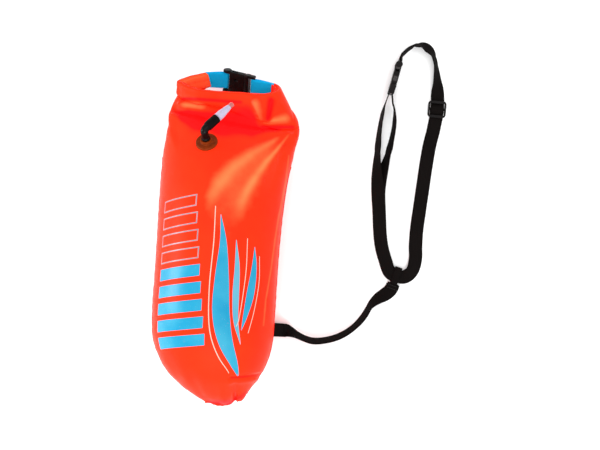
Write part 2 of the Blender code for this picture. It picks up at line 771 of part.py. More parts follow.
def turned(name, profile, finish, place, steps=24, cap=True):
    """A turned solid from (radius, height) pairs running down its outer side and up its bore."""
    mesh = bpy.data.meshes.new(name)
    bm = bmesh.new()
    verts = [bm.verts.new((r, 0.0, h)) for r, h in profile]
    for low, high in zip(verts, verts[1:]):
        bm.edges.new((low, high))
    bm.edges.new((verts[-1], verts[0]))
    bm.to_mesh(mesh)
    bm.free()
    made = add_object(name, mesh, finish)
    made.matrix_world = place
    screw = made.modifiers.new("turn", "SCREW")
    screw.steps = steps
    screw.render_steps = steps
    screw.use_merge_vertices = True
    screw.merge_threshold = MERGE
    return made


def build_valve(panel, finishes):
    black, olive, clear, metal, rubber = (
        finishes[k] for k in ("valve_black", "valve_olive", "mouthpiece", "steel", "seal")
    )
    base = front_frame(*VALVE_PLACE, Vector(ARM_AXIS))
    hole = turned_cutter("valve_hole", VALVE_HOLE_RADIUS, OVERRUN * 3.0, base)
    subtract(panel, hole)
    lift = FLANGE_LIFT
    top = lift + FLANGE_THICKNESS
    turned("valve_flange", [
        (FLANGE_RADIUS, top - FLANGE_THICKNESS / 3.0), (FLANGE_RADIUS, lift),
        (BARREL_RADIUS, lift), (BARREL_RADIUS, -BARREL_DEPTH), (STEM_BORE, -BARREL_DEPTH),
        (STEM_BORE, top), (STEM_RADIUS + FIT_GAP, top), (STEM_RADIUS + FIT_GAP, top + SOCKET_HEIGHT),
        (SOCKET_RADIUS, top + SOCKET_HEIGHT), (SOCKET_RADIUS + FLANGE_THICKNESS / 2.0, top),
        (FLANGE_RADIUS - FLANGE_THICKNESS, top),
    ], olive, base)
    turned("valve_seal", [
        (VALVE_HOLE_RADIUS + SEAL_RADIUS * 4.0, lift - FIT_GAP),
        (VALVE_HOLE_RADIUS + SEAL_RADIUS * 4.0, lift - FIT_GAP - SEAL_RADIUS / 2.5),
        (VALVE_HOLE_RADIUS + FIT_GAP, lift - FIT_GAP - SEAL_RADIUS / 2.5),
        (VALVE_HOLE_RADIUS + FIT_GAP, lift - FIT_GAP),
    ], rubber, base)
    turned("valve_backing", [
        (INNER_FLANGE_RADIUS, -INNER_DROP), (INNER_FLANGE_RADIUS, -INNER_DROP - FLANGE_THICKNESS),
        (BARREL_RADIUS + FIT_GAP, -INNER_DROP - FLANGE_THICKNESS), (BARREL_RADIUS + FIT_GAP, -INNER_DROP),
    ], black, base)
    knuckle = base @ Vector((0.0, 0.0, top + FIT_GAP + STEM_LENGTH))
    axis = Vector(ARM_AXIS).normalized()
    side = base.to_3x3() @ Vector((0.0, 1.0, 0.0))
    arm = frame_matrix(knuckle, side, axis.cross(side))
    build_elbow(base, arm, top + FIT_GAP, black)
    turned("valve_sleeve", [
        (SLEEVE_RADIUS, SLEEVE_LENGTH - EDGE_ROUND), (SLEEVE_RADIUS, SLEEVE_START),
        (ARM_TUBE_RADIUS + FIT_GAP, SLEEVE_START), (ARM_TUBE_RADIUS + FIT_GAP, SLEEVE_LENGTH),
        (SLEEVE_RADIUS - EDGE_ROUND, SLEEVE_LENGTH),
    ], rubber, arm)
    start = SLEEVE_LENGTH + FIT_GAP
    neck = start - TWIST_NECK_LENGTH
    end = start + MOUTHPIECE_LENGTH
    turned("mouthpiece", [
        (MOUTHPIECE_TIP_RADIUS, end), (MOUTHPIECE_RADIUS, start + MOUTHPIECE_LENGTH / 3.0),
        (MOUTHPIECE_RADIUS, start), (NECK_RADIUS, start), (NECK_RADIUS, neck),
        (MOUTHPIECE_BORE, neck), (MOUTHPIECE_BORE, end),
    ], clear, arm)
    turned("mouthpiece_tip", [
        (MOUTHPIECE_TIP_RADIUS - EDGE_ROUND, end + FIT_GAP + TIP_LENGTH),
        (MOUTHPIECE_TIP_RADIUS, end + FIT_GAP), (MOUTHPIECE_BORE, end + FIT_GAP),
        (MOUTHPIECE_BORE, end + FIT_GAP + TIP_LENGTH),
    ], clear, arm)
    poppet_face = ARM_TUBE_END - SEAT_DEPTH - POPPET_HEAD
    turned("poppet", [
        (POPPET_STEM_RADIUS, poppet_face + POPPET_HEAD + POPPET_STEM_LENGTH),
        (POPPET_STEM_RADIUS, poppet_face + POPPET_HEAD), (POPPET_RADIUS, poppet_face + POPPET_HEAD),
        (POPPET_RADIUS, poppet_face), (0.0, poppet_face),
        (0.0, poppet_face + POPPET_HEAD + POPPET_STEM_LENGTH),
    ], olive, arm)
    build_spring(poppet_face - FIT_GAP, arm, metal)


def circle_ring(centre, x_axis, y_axis, radius, sides=ELBOW_SIDES):
    return [
        centre + (x_axis * math.cos(2.0 * math.pi * s) + y_axis * math.sin(2.0 * math.pi * s)) * radius
        for s in shares(sides)[:-1]
    ]


def build_elbow(base, arm, seat, finish):
    """The bent tube: up out of the flange's socket, round the knuckle and into the sleeve."""
    up = base.to_3x3() @ Vector((0.0, 0.0, 1.0))
    out = arm.to_3x3() @ Vector((0.0, 0.0, 1.0))
    corner = arm.translation
    low = base @ Vector((0.0, 0.0, seat))
    bend = STEM_RADIUS * KNUCKLE_RADIUS_SHARE
    side = up.cross(out).normalized()
    path = [low, corner - up * bend * 2.0, corner - up * bend]
    for share in shares(ELBOW_BENDS)[1:-1]:
        first = (corner - up * bend).lerp(corner, share)
        second = corner.lerp(corner + out * bend, share)
        path.append(first.lerp(second, share))
    path += [corner + out * bend, corner + out * ARM_TUBE_END]
    outer, inner = [], []
    for i, point in enumerate(path):
        along = (path[min(i + 1, len(path) - 1)] - path[max(i - 1, 0)]).normalized()
        if i == 0:
            along = up
        if i >= len(path) - 2:
            along = out
        across = side.cross(along).normalized()
        radius = STEM_RADIUS if i < len(path) - 2 else ARM_TUBE_RADIUS
        outer.append(circle_ring(point, side, across, radius))
        inner.append(circle_ring(point, side, across, ARM_TUBE_BORE))
    mesh = sweep_mesh("valve_elbow", outer, inner)
    return add_object("valve_elbow", mesh, finish)


def build_spring(top, arm, finish):
    """The poppet's return spring, one wire through all its turns."""
    height = SPRING_TURNS * SPRING_WIRE * 3.2
    curve = bpy.data.curves.new("poppet_spring", "CURVE")
    curve.dimensions = "3D"
    spline = curve.splines.new("POLY")
    count = SPRING_TURNS * SPRING_STEPS
    spline.points.add(count)
    for i, share in enumerate(shares(count)):
        turn = 2.0 * math.pi * SPRING_TURNS * share
        spline.points[i].co = (
            SPRING_RADIUS * math.cos(turn), SPRING_RADIUS * math.sin(turn),
            top - SPRING_WIRE - height * share, 1.0,
        )
    curve.bevel_depth = SPRING_WIRE
    curve.bevel_resolution = 0
    curve.use_fill_caps = True
    made = bpy.data.objects.new("poppet_spring", curve)
    bpy.data.collections[COLLECTION].objects.link(made)
    curve.materials.append(finish)
    made.matrix_world = arm
    return made


def turned_cutter(name, radius, half_depth, place):
    bm = bmesh.new()
    bmesh.ops.create_cone(
        bm, cap_ends=True, segments=28, radius1=radius, radius2=radius, depth=2.0 * half_depth
    )
    mesh = bpy.data.meshes.new(name)
    bm.to_mesh(mesh)
    bm.free()
    made = add_object(name, mesh, collection=CUTTERS)
    made.matrix_world = place
    as_cutter(made)
    return made


# The leash's anchor on the bag's flank
def anchor_t():
    return (ANCHOR_Y - BASE_Y) / BODY_LENGTH


def build_patch(finish):
    t = anchor_t()
    u = 1.0 + 2.0 * ANCHOR_ANGLE / math.pi
    reach_t = PATCH_SIZE / 2.0 / BODY_LENGTH
    reach_u = PATCH_SIZE / (math.pi * BODY_RADIUS)
    steps = shares(PATCH_STEPS)

    def skin(inset):
        return [[
            bag_point(t + reach_t * (2.0 * a - 1.0), u + reach_u * (2.0 * b - 1.0), -1, inset)
            for b in steps
        ] for a in steps]
    mesh = shell_mesh("leash_patch", skin(-FIT_GAP - PATCH_THICKNESS), skin(-FIT_GAP))
    return add_object("leash_patch", mesh, finish)


ANCHOR_NORMAL = Vector((math.cos(ANCHOR_ANGLE), 0.0, math.sin(ANCHOR_ANGLE)))
RING_REACH = Vector((0.95, 0.0, -0.30)).normalized()


def anchor_point():
    surface = bag_point(anchor_t(), 1.0 + 2.0 * ANCHOR_ANGLE / math.pi, -1, 0.0)
    return surface + ANCHOR_NORMAL * (PATCH_THICKNESS + 2.0 * FIT_GAP)


def anchor_bars():
    near = anchor_point() + ANCHOR_NORMAL * ANCHOR_TAB_LENGTH
    return near, near + RING_REACH * RING_BAR_SPACING


WRAP_RADIUS = RING_WIRE + FIT_GAP + WEBBING_THICKNESS / 2.0


def build_anchor_tab(finish):
    near, _ = anchor_bars()
    aside = ANCHOR_NORMAL.cross(Y_AXIS)
    foot = anchor_point()
    points = [foot + aside * WRAP_RADIUS]
    points += hairpin(near, ANCHOR_NORMAL, aside, WRAP_RADIUS)
    points += [foot - aside * WRAP_RADIUS]
    mesh = ribbon_mesh("anchor_tab", points, [Y_AXIS] * len(points), WEBBING, WEBBING_THICKNESS)
    return add_object("anchor_tab", mesh, finish)


def build_anchor_ring(finish):
    near, far = anchor_bars()
    half_span = WEBBING / 2.0 + WEB_CLEAR + RING_WIRE
    middle = (near + far) / 2.0
    half_reach = RING_BAR_SPACING / 2.0
    curve = bpy.data.curves.new("anchor_ring", "CURVE")
    curve.dimensions = "3D"
    spline = curve.splines.new("POLY")
    points = []
    for quarter, (a, b) in enumerate(((1, 1), (-1, 1), (-1, -1), (1, -1))):
        for step in range(RING_CORNER_STEPS + 1):
            angle = math.pi / 2.0 * (quarter + step / RING_CORNER_STEPS)
            along = a * (half_reach - RING_CORNER) + RING_CORNER * math.cos(angle)
            across = b * (half_span - RING_CORNER) + RING_CORNER * math.sin(angle)
            points.append(RING_REACH * along + Y_AXIS * across)
    spline.points.add(len(points) - 1)
    for spot, point in zip(spline.points, points):
        spot.co = (*point, 1.0)
    spline.use_cyclic_u = True
    curve.bevel_depth = RING_WIRE
    curve.bevel_resolution = 2
    made = bpy.data.objects.new("anchor_ring", curve)
    bpy.data.collections[COLLECTION].objects.link(made)
    curve.materials.append(finish)
    made.location = middle
    return made


# Leash and belt routes: X, Y, turn from flat in degrees, height of the lowest edge above the floor.
LEASH_ROUTE = (
    (0.138, -0.1712, 12, 0.0045), (0.150, -0.1752, 30, 0.0040), (0.165, -0.1812, 52, 0.0025),
    (0.183, -0.1858, 66, 0.0006),
    (0.205, -0.1832, 67, 0.0003), (0.228, -0.1755, 67, 0.0003), (0.247, -0.1640, 68, 0.0003),
    (0.264, -0.1480, 72, 0.0003), (0.2765, -0.1305, 76, 0.0003), (0.285, -0.1130, 66, 0.0003),
    (0.2985, -0.0990, 40, 0.0003), (0.3130, -0.0890, 14, 0.0010),
)
BELT_TOP_ROUTE = (
    (0.3090, 0.3560, 90, 0.0066), (0.3190, 0.3668, 90, 0.0045), (0.3292, 0.3742, 86, 0.0015),
    (0.3379, 0.3775, 76, 0.0003), (0.3466, 0.3780, 58, 0.0003), (0.3560, 0.3745, 44, 0.0003),
    (0.3645, 0.3665, 54, 0.0003), (0.3710, 0.3545, 74, 0.0003), (0.3755, 0.3380, 66, 0.0003),
    (0.3795, 0.3130, 46, 0.0003), (0.3815, 0.2960, 18, 0.0010), (0.3824, 0.2850, 0, 0.0023),
)
BELT_SIDE_ROUTE = (
    (0.3790, 0.2200, 0, 0.0003), (0.3738, 0.1900, 0, 0.0003), (0.3700, 0.1500, 0, 0.0003),
    (0.3672, 0.1100, 0, 0.0003), (0.3643, 0.0700, 0, 0.0003), (0.3620, 0.0350, 0, 0.0003),
    (0.3620, 0.0050, 4, 0.0003), (0.3632, -0.0200, 12, 0.0003), (0.3585, -0.0420, 22, 0.0003),
    (0.3450, -0.0545, 3, 0.0018), (0.3300, -0.0530, 0, 0.0022), (0.3170, -0.0470, 0, 0.0018),
    (0.3070, -0.0240, 8, 0.0003), (0.2990, -0.0010, 6, 0.0003), (0.2940, 0.0250, 4, 0.0003),
    (0.2900, 0.0600, 4, 0.0003),
)
BELT_MALE_ROUTE = (
    (0.2845, 0.1050, 20, 0.0003), (0.2810, 0.1450, 52, 0.0003), (0.2805, 0.1900, 78, 0.0003),
    (0.2820, 0.2250, 88, 0.0018), (0.2855, 0.2520, 90, 0.0045), (0.2885, 0.2660, 90, 0.0063),
)
BELT_RETURN_ROUTE = (
    (0.2862, 0.1050, 18, 0.0003), (0.2925, 0.1450, 52, 0.0003), (0.3010, 0.1900, 80, 0.0003),
    (0.3050, 0.2250, 88, 0.0018), (0.3035, 0.2520, 90, 0.0045), (0.2990, 0.2660, 90, 0.0063),
)
BELT_BUCKLE_CENTRE = (0.2995, 0.3120)
BELT_BUCKLE_HEADING = (-0.199, -0.980)
SLIDER_CENTRE = (0.3828, 0.2620)
SLIDER_HEADING = (-0.0175, -0.9998)
HITCH_PLACE = (0.3300, -0.0530)
HITCH_HEADING = (-0.966, 0.259)
HITCH_WIDTH = 0.014
HITCH_WALL = 0.0015
STRAND_GAP = 0.0013          # between the belt's two layers
TAIL_LENGTH = 0.028          # sewn tail of the belt's loops
LOOP_LENGTH = 0.018          # of the leash's loop on the anchor ring
LEAD_LENGTH = 0.004          # of the leash, straight on from that loop
TAIL_STEPS = 4


def lay_route(route, layer=0):
    """Centre points and width axes of webbing that lies on its face or leans on an edge."""
    flat = smooth_path([Vector((x, y, 0.0)) for x, y, _, _ in route])
    extra = smooth_path([Vector((turn, low, 0.0)) for _, _, turn, low in route])
    points, axes = [], []
    for i, (spot, more) in enumerate(zip(flat, extra)):
        along = (flat[min(i + 1, len(flat) - 1)] - flat[max(i - 1, 0)]).normalized()
        aside = Vector((along.y, -along.x, 0.0))
        turn = math.radians(more.x)
        axis = aside * math.cos(turn) + Z_AXIS * math.sin(turn)
        through = aside * -math.sin(turn) + Z_AXIS * math.cos(turn)
        rise = WEBBING / 2.0 * abs(math.sin(turn)) + WEBBING_THICKNESS / 2.0 * math.cos(turn)
        height = more.y + rise
        offset = layer * (WEBBING_THICKNESS + STRAND_GAP)
        points.append(spot + Z_AXIS * height + through * offset)
        axes.append(axis)
    return points, axes


def build_leash(finish):
    _, bar = anchor_bars()
    inward = -RING_REACH
    aside = Y_AXIS.cross(RING_REACH).normalized()
    if aside.z < 0.0:
        aside.negate()
    low = near_layer()
    turn = hairpin(bar, inward, -aside, WRAP_RADIUS)
    tail = [
        bar + RING_REACH * LOOP_LENGTH * s - aside * (WRAP_RADIUS + (low - WRAP_RADIUS) * smoothstep(s * 2.0))
        for s in reversed(shares(TAIL_STEPS)[1:])
    ]
    upper = [
        bar + RING_REACH * LOOP_LENGTH * s + aside * (WRAP_RADIUS + (low - WRAP_RADIUS) * smoothstep(s * 2.0))
        for s in shares(TAIL_STEPS)[1:]
    ]
    loop = tail + turn + upper
    mesh = ribbon_mesh("leash_loop", loop, [Y_AXIS] * len(loop), WEBBING, WEBBING_THICKNESS)
    add_object("leash_loop", mesh, finish)
    points, axes = lay_route(LEASH_ROUTE + leash_end())
    first = upper[-1] + RING_REACH * FIT_GAP
    lead = [first, first + RING_REACH * LEAD_LENGTH]
    mesh = ribbon_mesh("leash", lead + points, [-Y_AXIS] * 2 + axes, WEBBING, WEBBING_THICKNESS)
    return add_object("leash", mesh, finish)


def leash_end():
    """The leash's last two route points, which meet the hitch's side squarely."""
    place = hitch_frame()
    side = Vector((0.0, -1.0, 0.0)) if (place.to_3x3() @ Y_AXIS).y > 0.0 else Vector((0.0, 1.0, 0.0))
    reach = hitch_half_width() + 3.0 * FIT_GAP
    rows = []
    for away in (LEASH_END_RUN, 0.0):
        spot = place @ (side * (reach + away))
        rows.append((spot.x, spot.y, 0, HITCH_LOW))
    return tuple(rows)


def near_layer():
    return (WEBBING_THICKNESS + STRAND_GAP) / 2.0


def belt_buckle_place():
    heading = Vector((*BELT_BUCKLE_HEADING, 0.0))
    half_width = WEBBING / 2.0 + WEB_CLEAR + BUCKLE_RAIL
    height = half_width + PRONG_PROUD + FLOOR_CLEAR
    return frame_matrix(Vector((*BELT_BUCKLE_CENTRE, height)), heading, Z_AXIS)


def wrap_points(edge, inward, aside, bar, radius, tail, tail_sign):
    """A loop round a bar: the sewn tail on one face, the half turn, and the first point after it."""
    outward = -inward
    legs = [
        edge + outward * (bar + tail * s)
        + aside * tail_sign * (radius + (near_layer() - radius) * smoothstep(2.0 * s))
        for s in reversed(shares(TAIL_STEPS))
    ]
    return legs + hairpin(edge, inward, aside * tail_sign, radius)


def belt_sides(buckle):
    """The direction that faces the part's right on the standing belt buckle."""
    right = buckle.place.to_3x3() @ Z_AXIS
    return right if right.x > 0.0 else -right


def slider_frame():
    height = slider_drop() + STRAND_GAP + 1.5 * WEBBING_THICKNESS + FLOOR_CLEAR
    heading = Vector((*SLIDER_HEADING, 0.0))
    return frame_matrix(Vector((*SLIDER_CENTRE, height)), heading, Vector((1.0, 0.0, 0.0)))


def slider_drop():
    """How far the webbing's middle lies from the slider's middle where it touches a bar."""
    return SLIDER_THICKNESS / 2.0 + FIT_GAP + WEBBING_THICKNESS / 2.0


def slider_bar_x():
    return (SLIDER_LENGTH - SLIDER_BAR) / 2.0


def belt_main_points(buckle):
    """Female bar, over the top, through the slider, down, through the hitch and up to the male bar."""
    right = belt_sides(buckle)
    axis = buckle.place.to_3x3() @ Vector((1.0, 0.0, 0.0))
    top_edge = buckle.place @ Vector((-buckle.bar_edge, 0.0, 0.0))
    points = wrap_points(top_edge, axis, right, BUCKLE_BAR, buckle.bend_radius, TAIL_LENGTH, -1)
    points.append(top_edge - axis * BUCKLE_BAR + right * buckle.bend_radius)
    axes = [Z_AXIS] * len(points)
    route, route_axes = lay_route(BELT_TOP_ROUTE)
    points += route
    axes += [-a for a in route_axes] if route_axes[0].dot(Z_AXIS) < 0.0 else route_axes
    place = slider_frame()
    low, high = -slider_drop(), slider_drop() + WEBBING_THICKNESS + 2.0 * FIT_GAP
    bar = slider_bar_x()
    half = SLIDER_BAR / 2.0 + BAR_MARGIN
    weave = [(-bar - half, low), (-bar + half, low), (-half - BAR_MARGIN, high), (half, high),
             (bar - half, low), (bar + half, low)]
    points += [place @ Vector((x, 0.0, z)) for x, z in weave]
    axes += [place.to_3x3() @ Y_AXIS] * len(weave)
    side, side_axes = lay_route(BELT_SIDE_ROUTE + BELT_MALE_ROUTE, layer=1)
    points += side
    axes += side_axes
    bottom_edge = buckle.place @ Vector((buckle.bar_edge, 0.0, 0.0))
    points.append(bottom_edge + axis * BUCKLE_BAR - right * buckle.bend_radius)
    turn = hairpin(bottom_edge, -axis, -right, buckle.bend_radius)
    points += turn
    axes += [Z_AXIS] * (len(turn) + 1)
    return points, axes


def belt_return_points(buckle):
    """The male bar, down beside the main run, and round the slider's middle bar."""
    right = belt_sides(buckle)
    axis = buckle.place.to_3x3() @ Vector((1.0, 0.0, 0.0))
    bottom_edge = buckle.place @ Vector((buckle.bar_edge, 0.0, 0.0))
    start = bottom_edge + axis * FIT_GAP + right * buckle.bend_radius
    points = [start, bottom_edge + axis * BUCKLE_BAR + right * buckle.bend_radius]
    axes = [Z_AXIS] * 2
    away, away_axes = lay_route(BELT_SIDE_ROUTE + BELT_RETURN_ROUTE)
    points += reversed(away)
    axes += reversed(away_axes)
    place = slider_frame()
    bar = slider_bar_x()
    half = SLIDER_BAR / 2.0
    drop = slider_drop()
    under = -drop - WEBBING_THICKNESS - STRAND_GAP
    points += [place @ Vector((x, 0.0, z)) for x, z in (
        (bar + half + BAR_MARGIN, under), (bar - half - BAR_MARGIN, under), (half, -drop))]
    edge = place @ Vector((-half + SLIDER_THICKNESS / 6.0, 0.0, 0.0))
    turn = hairpin(edge, -(place.to_3x3() @ Vector((1.0, 0.0, 0.0))), -Z_AXIS, drop)
    points += turn
    points.append(place @ Vector((0.0, 0.0, drop)))
    axes += [place.to_3x3() @ Y_AXIS] * (4 + len(turn))
    return points, axes


def aligned(axes):
    """The width axes with their signs made to agree from point to point."""
    kept = [axes[0]]
    for axis in axes[1:]:
        kept.append(-axis if axis.dot(kept[-1]) < 0.0 else axis)
    return kept


def build_belt(buckle, finish):
    for name, (points, axes) in (
        ("belt_main_run", belt_main_points(buckle)),
        ("belt_return_run", belt_return_points(buckle)),
    ):
        mesh = ribbon_mesh(name, points, aligned(axes), WEBBING, WEBBING_THICKNESS)
        add_object(name, mesh, finish)


def rounded_plate(name, length, width, thickness, corner, place, finish):
    """A flat plate with round corners, from an outline curve extruded to its thickness."""
    curve = bpy.data.curves.new(name, "CURVE")
    curve.dimensions = "2D"
    curve.fill_mode = "BOTH"
    curve.extrude = thickness / 2.0
    spline = curve.splines.new("POLY")
    outline = rounded_section(length / 2.0, width / 2.0, corner, SLIDER_CORNER_STEPS)
    spline.points.add(len(outline) - 1)
    for spot, (x, y) in zip(spline.points, outline):
        spot.co = (x, y, 0.0, 1.0)
    spline.use_cyclic_u = True
    guide = bpy.data.objects.new(name, curve)
    bpy.data.collections[COLLECTION].objects.link(guide)
    depsgraph = bpy.context.evaluated_depsgraph_get()
    mesh = bpy.data.meshes.new_from_object(guide.evaluated_get(depsgraph))
    bpy.data.objects.remove(guide, do_unlink=True)
    bm = bmesh.new()
    bm.from_mesh(mesh)
    bmesh.ops.remove_doubles(bm, verts=bm.verts, dist=MERGE)
    bmesh.ops.recalc_face_normals(bm, faces=bm.faces)
    bm.to_mesh(mesh)
    bm.free()
    mesh.materials.clear()
    mesh.name = name
    made = add_object(name, mesh, finish)
    made.matrix_world = place
    return made


def box_cutter(name, low, high, place):
    bm = bmesh.new()
    bmesh.ops.create_cube(bm, size=1.0)
    bmesh.ops.scale(bm, vec=[b - a for a, b in zip(low, high)], verts=bm.verts)
    bmesh.ops.translate(bm, vec=[(a + b) / 2.0 for a, b in zip(low, high)], verts=bm.verts)
    mesh = bpy.data.meshes.new(name)
    bm.to_mesh(mesh)
    bm.free()
    made = add_object(name, mesh, collection=CUTTERS)
    made.matrix_world = place
    as_cutter(made)
    return made


def build_slider(finish):
    place = slider_frame()
    made = rounded_plate(
        "belt_slider", SLIDER_LENGTH, SLIDER_WIDTH, SLIDER_THICKNESS, SLIDER_CORNER, place, finish
    )
    slot_half = WEBBING / 2.0 + WEB_CLEAR
    depth = SLIDER_THICKNESS / 2.0 + OVERRUN
    near, far = SLIDER_BAR / 2.0, slider_bar_x() - SLIDER_BAR / 2.0
    for hand in (-1, 1):
        ends = sorted((hand * near, hand * far))
        subtract(made, box_cutter(
            f"slider_slot_{'lower' if hand > 0 else 'upper'}",
            (ends[0], -slot_half, -depth), (ends[1], slot_half, depth), place,
        ))
    return made


def hitch_frame():
    heading = Vector((*HITCH_HEADING, 0.0))
    low = HITCH_LOW
    height = low + WEBBING_THICKNESS + STRAND_GAP / 2.0
    return frame_matrix(Vector((*HITCH_PLACE, height)), heading, Z_AXIS.cross(heading))


def hitch_half_width():
    return WEBBING / 2.0 + HITCH_CLEAR + HITCH_WALL


def build_hitch(finish):
    """The leash's sewn eye: a flat loop round both layers of the belt."""
    place = hitch_frame()
    inner_half = WEBBING_THICKNESS + STRAND_GAP / 2.0 + HITCH_HEAD_CLEAR
    width = hitch_half_width()
    outer = rounded_section(inner_half + HITCH_WALL, width, HITCH_WALL)
    inner = rounded_section(inner_half, width - HITCH_WALL, HITCH_WALL / 4.0)

    def rings(section):
        return [
            [place @ Vector((x, across, through)) for through, across in section]
            for x in (-HITCH_WIDTH / 2.0, HITCH_WIDTH / 2.0)
        ]
    mesh = sweep_mesh("leash_hitch", rings(outer), rings(inner))
    return add_object("leash_hitch", mesh, finish)


def main():
    clear_scene()
    orange = material("shell_orange", (0.95, 0.06, 0.02), 0.35)
    tape = material("seam_orange", (0.90, 0.05, 0.02), 0.45)
    film = material("liner_film", (0.80, 0.25, 0.15), 0.50)
    blue = material("tab_blue", (0.01, 0.30, 0.60), 0.60)
    black_web = material("webbing_black", (0.02, 0.017, 0.017), 0.85)
    black = material("buckle_black", (0.02, 0.018, 0.018), 0.40)
    strip = material("stiffener_grey", (0.30, 0.30, 0.30), 0.50)
    finishes = {
        "valve_black": black,
        "valve_olive": material("valve_olive", (0.14, 0.05, 0.01), 0.45),
        "mouthpiece": material("mouthpiece", (0.80, 0.78, 0.88), 0.25),
        "steel": material("steel", (0.70, 0.70, 0.70), 0.30, 1.0),
        "seal": material("valve_rubber", (0.03, 0.02, 0.02), 0.60),
    }
    front = build_panel("front_panel", 1, orange)
    build_panel("back_panel", -1, orange)
    build_side_seam("side_seam_left", -1, tape)
    build_side_seam("side_seam_right", 1, tape)
    build_base_weld(tape)
    build_liner(film)
    build_roll(orange)
    build_stiffener("stiffener_front", 1, strip)
    build_stiffener("stiffener_back", -1, strip)

    closure = Buckle("closure", TAB_WIDTH, TAB_THICKNESS, closure_place())
    closure.female(black)
    closure.male(black)
    closure.prong(1, black)
    closure.prong(-1, black)
    build_tab("tab_left", closure, -1, blue)
    build_tab("tab_right", closure, 1, blue)

    build_valve(front, finishes)

    build_patch(tape)
    build_anchor_tab(black_web)
    build_anchor_ring(black)
    build_leash(black_web)
    build_hitch(black_web)

    belt = Buckle("belt", WEBBING, WEBBING_THICKNESS, belt_buckle_place())
    belt.female(black)
    belt.male(black)
    belt.prong(1, black)
    belt.prong(-1, black)
    build_belt(belt, black_web)
    build_slider(black)


main()
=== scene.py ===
import json
import math

import bmesh
import bpy
import numpy as np
from mathutils import Matrix, Vector


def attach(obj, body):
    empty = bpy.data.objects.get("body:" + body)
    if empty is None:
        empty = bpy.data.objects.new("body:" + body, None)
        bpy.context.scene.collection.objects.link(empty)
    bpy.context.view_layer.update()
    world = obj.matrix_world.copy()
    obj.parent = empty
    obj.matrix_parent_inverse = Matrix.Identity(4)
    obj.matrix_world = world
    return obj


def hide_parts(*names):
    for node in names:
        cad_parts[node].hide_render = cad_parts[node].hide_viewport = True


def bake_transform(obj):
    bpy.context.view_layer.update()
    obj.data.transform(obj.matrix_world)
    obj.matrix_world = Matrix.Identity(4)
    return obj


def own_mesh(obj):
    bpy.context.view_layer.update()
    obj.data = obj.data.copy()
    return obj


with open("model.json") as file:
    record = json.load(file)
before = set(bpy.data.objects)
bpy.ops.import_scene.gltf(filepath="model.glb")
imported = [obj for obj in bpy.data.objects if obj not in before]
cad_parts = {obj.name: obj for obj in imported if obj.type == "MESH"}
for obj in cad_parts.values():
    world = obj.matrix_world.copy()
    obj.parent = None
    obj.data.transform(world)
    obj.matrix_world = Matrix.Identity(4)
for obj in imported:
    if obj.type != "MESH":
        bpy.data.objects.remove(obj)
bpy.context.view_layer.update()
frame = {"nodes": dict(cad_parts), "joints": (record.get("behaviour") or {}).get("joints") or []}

NODES = frame["nodes"]

# Camera: straight above, turned as the photo is
camera_data = bpy.data.cameras.new("camera")
camera_data.lens = 85.0
camera_data.sensor_width = 36.0
camera_data.clip_end = 20.0
camera = bpy.data.objects.new("camera", camera_data)
camera.location = (0.14394, 0.02782, 2.650)
camera.rotation_euler = (0.0, 0.0, math.radians(4.25))
bpy.context.scene.collection.objects.link(camera)
bpy.context.scene.camera = camera


# Sizes and routes of the pieces, in metres, the same as those of their solids
# Bag
BODY_RADIUS = 0.110          # half the width of the round body
BODY_LENGTH = 0.551          # base weld to the front of the neck
NECK_Y = 0.249               # the neck's place along Y
BASE_Y = NECK_Y - BODY_LENGTH
BODY_TOP_Z = 0.208           # height of the body's crest
FIT_GAP = 0.0003             # between pieces that touch

# Along the body: share of BODY_LENGTH, then half width, sideways offset, top and bottom heights.
# Widths and offsets are shares of BODY_RADIUS, heights are shares of BODY_TOP_Z.
STATION_SHARES = (
    (0.000, 0.270, 0.24, 0.505, 0.470),
    (0.018, 0.400, 0.20, 0.600, 0.370),
    (0.050, 0.560, 0.12, 0.700, 0.270),
    (0.090, 0.740, 0.07, 0.800, 0.160),
    (0.140, 0.885, 0.045, 0.880, 0.070),
    (0.200, 0.975, 0.02, 0.950, 0.018),
    (0.270, 0.995, 0.01, 0.990, 0.000),
    (0.400, 0.997, 0.00, 1.000, 0.000),
    (0.560, 1.000, 0.00, 1.000, 0.000),
    (0.680, 1.020, 0.01, 0.985, 0.000),
    (0.760, 1.040, 0.03, 0.935, 0.015),
    (0.830, 1.082, 0.07, 0.850, 0.050),
    (0.880, 1.165, 0.16, 0.755, 0.100),
    (0.935, 1.210, 0.20, 0.655, 0.170),
    (1.000, 0.960, 0.00, 0.570, 0.250),
)
NECK_START_SHARE = 0.80      # of BODY_LENGTH, where the round body starts to fold into the roll
REST_SINK = 0.006            # how far the round underside is pressed flat
WELD_THICKNESS = 0.0022

# Roll-top: a ring made by the rolled mouth, two tabs and the buckle
RING_HALF_WIDTH = 0.089
RING_HALF_DEPTH = 0.040
RING_CENTRE = (-0.002, 0.262, 0.080)
RING_TILT = math.radians(28.0)
ROLL_WIDTH = 0.028           # along the ring's axis
ROLL_WALL = 0.0045
STIFFENER_THICKNESS = 0.0012
NECK_THICKNESS = 0.0060      # both skins of the flattened neck
RING_SHARES = (
    (-0.13, 1.20), (-0.42, 1.10), (-0.74, 0.80), (-0.94, 0.35), (-1.00, -0.20), (-0.86, -0.74),
    (-0.50, -0.98), (0.00, -1.00), (0.50, -0.98), (0.86, -0.76), (1.00, -0.30), (0.96, 0.12),
    (0.80, 0.38), (0.50, 0.60),
)
ROLL_LEFT_X_SHARE = -0.50    # of RING_HALF_WIDTH, where the roll ends behind, on each side
ROLL_RIGHT_X_SHARE = 0.86

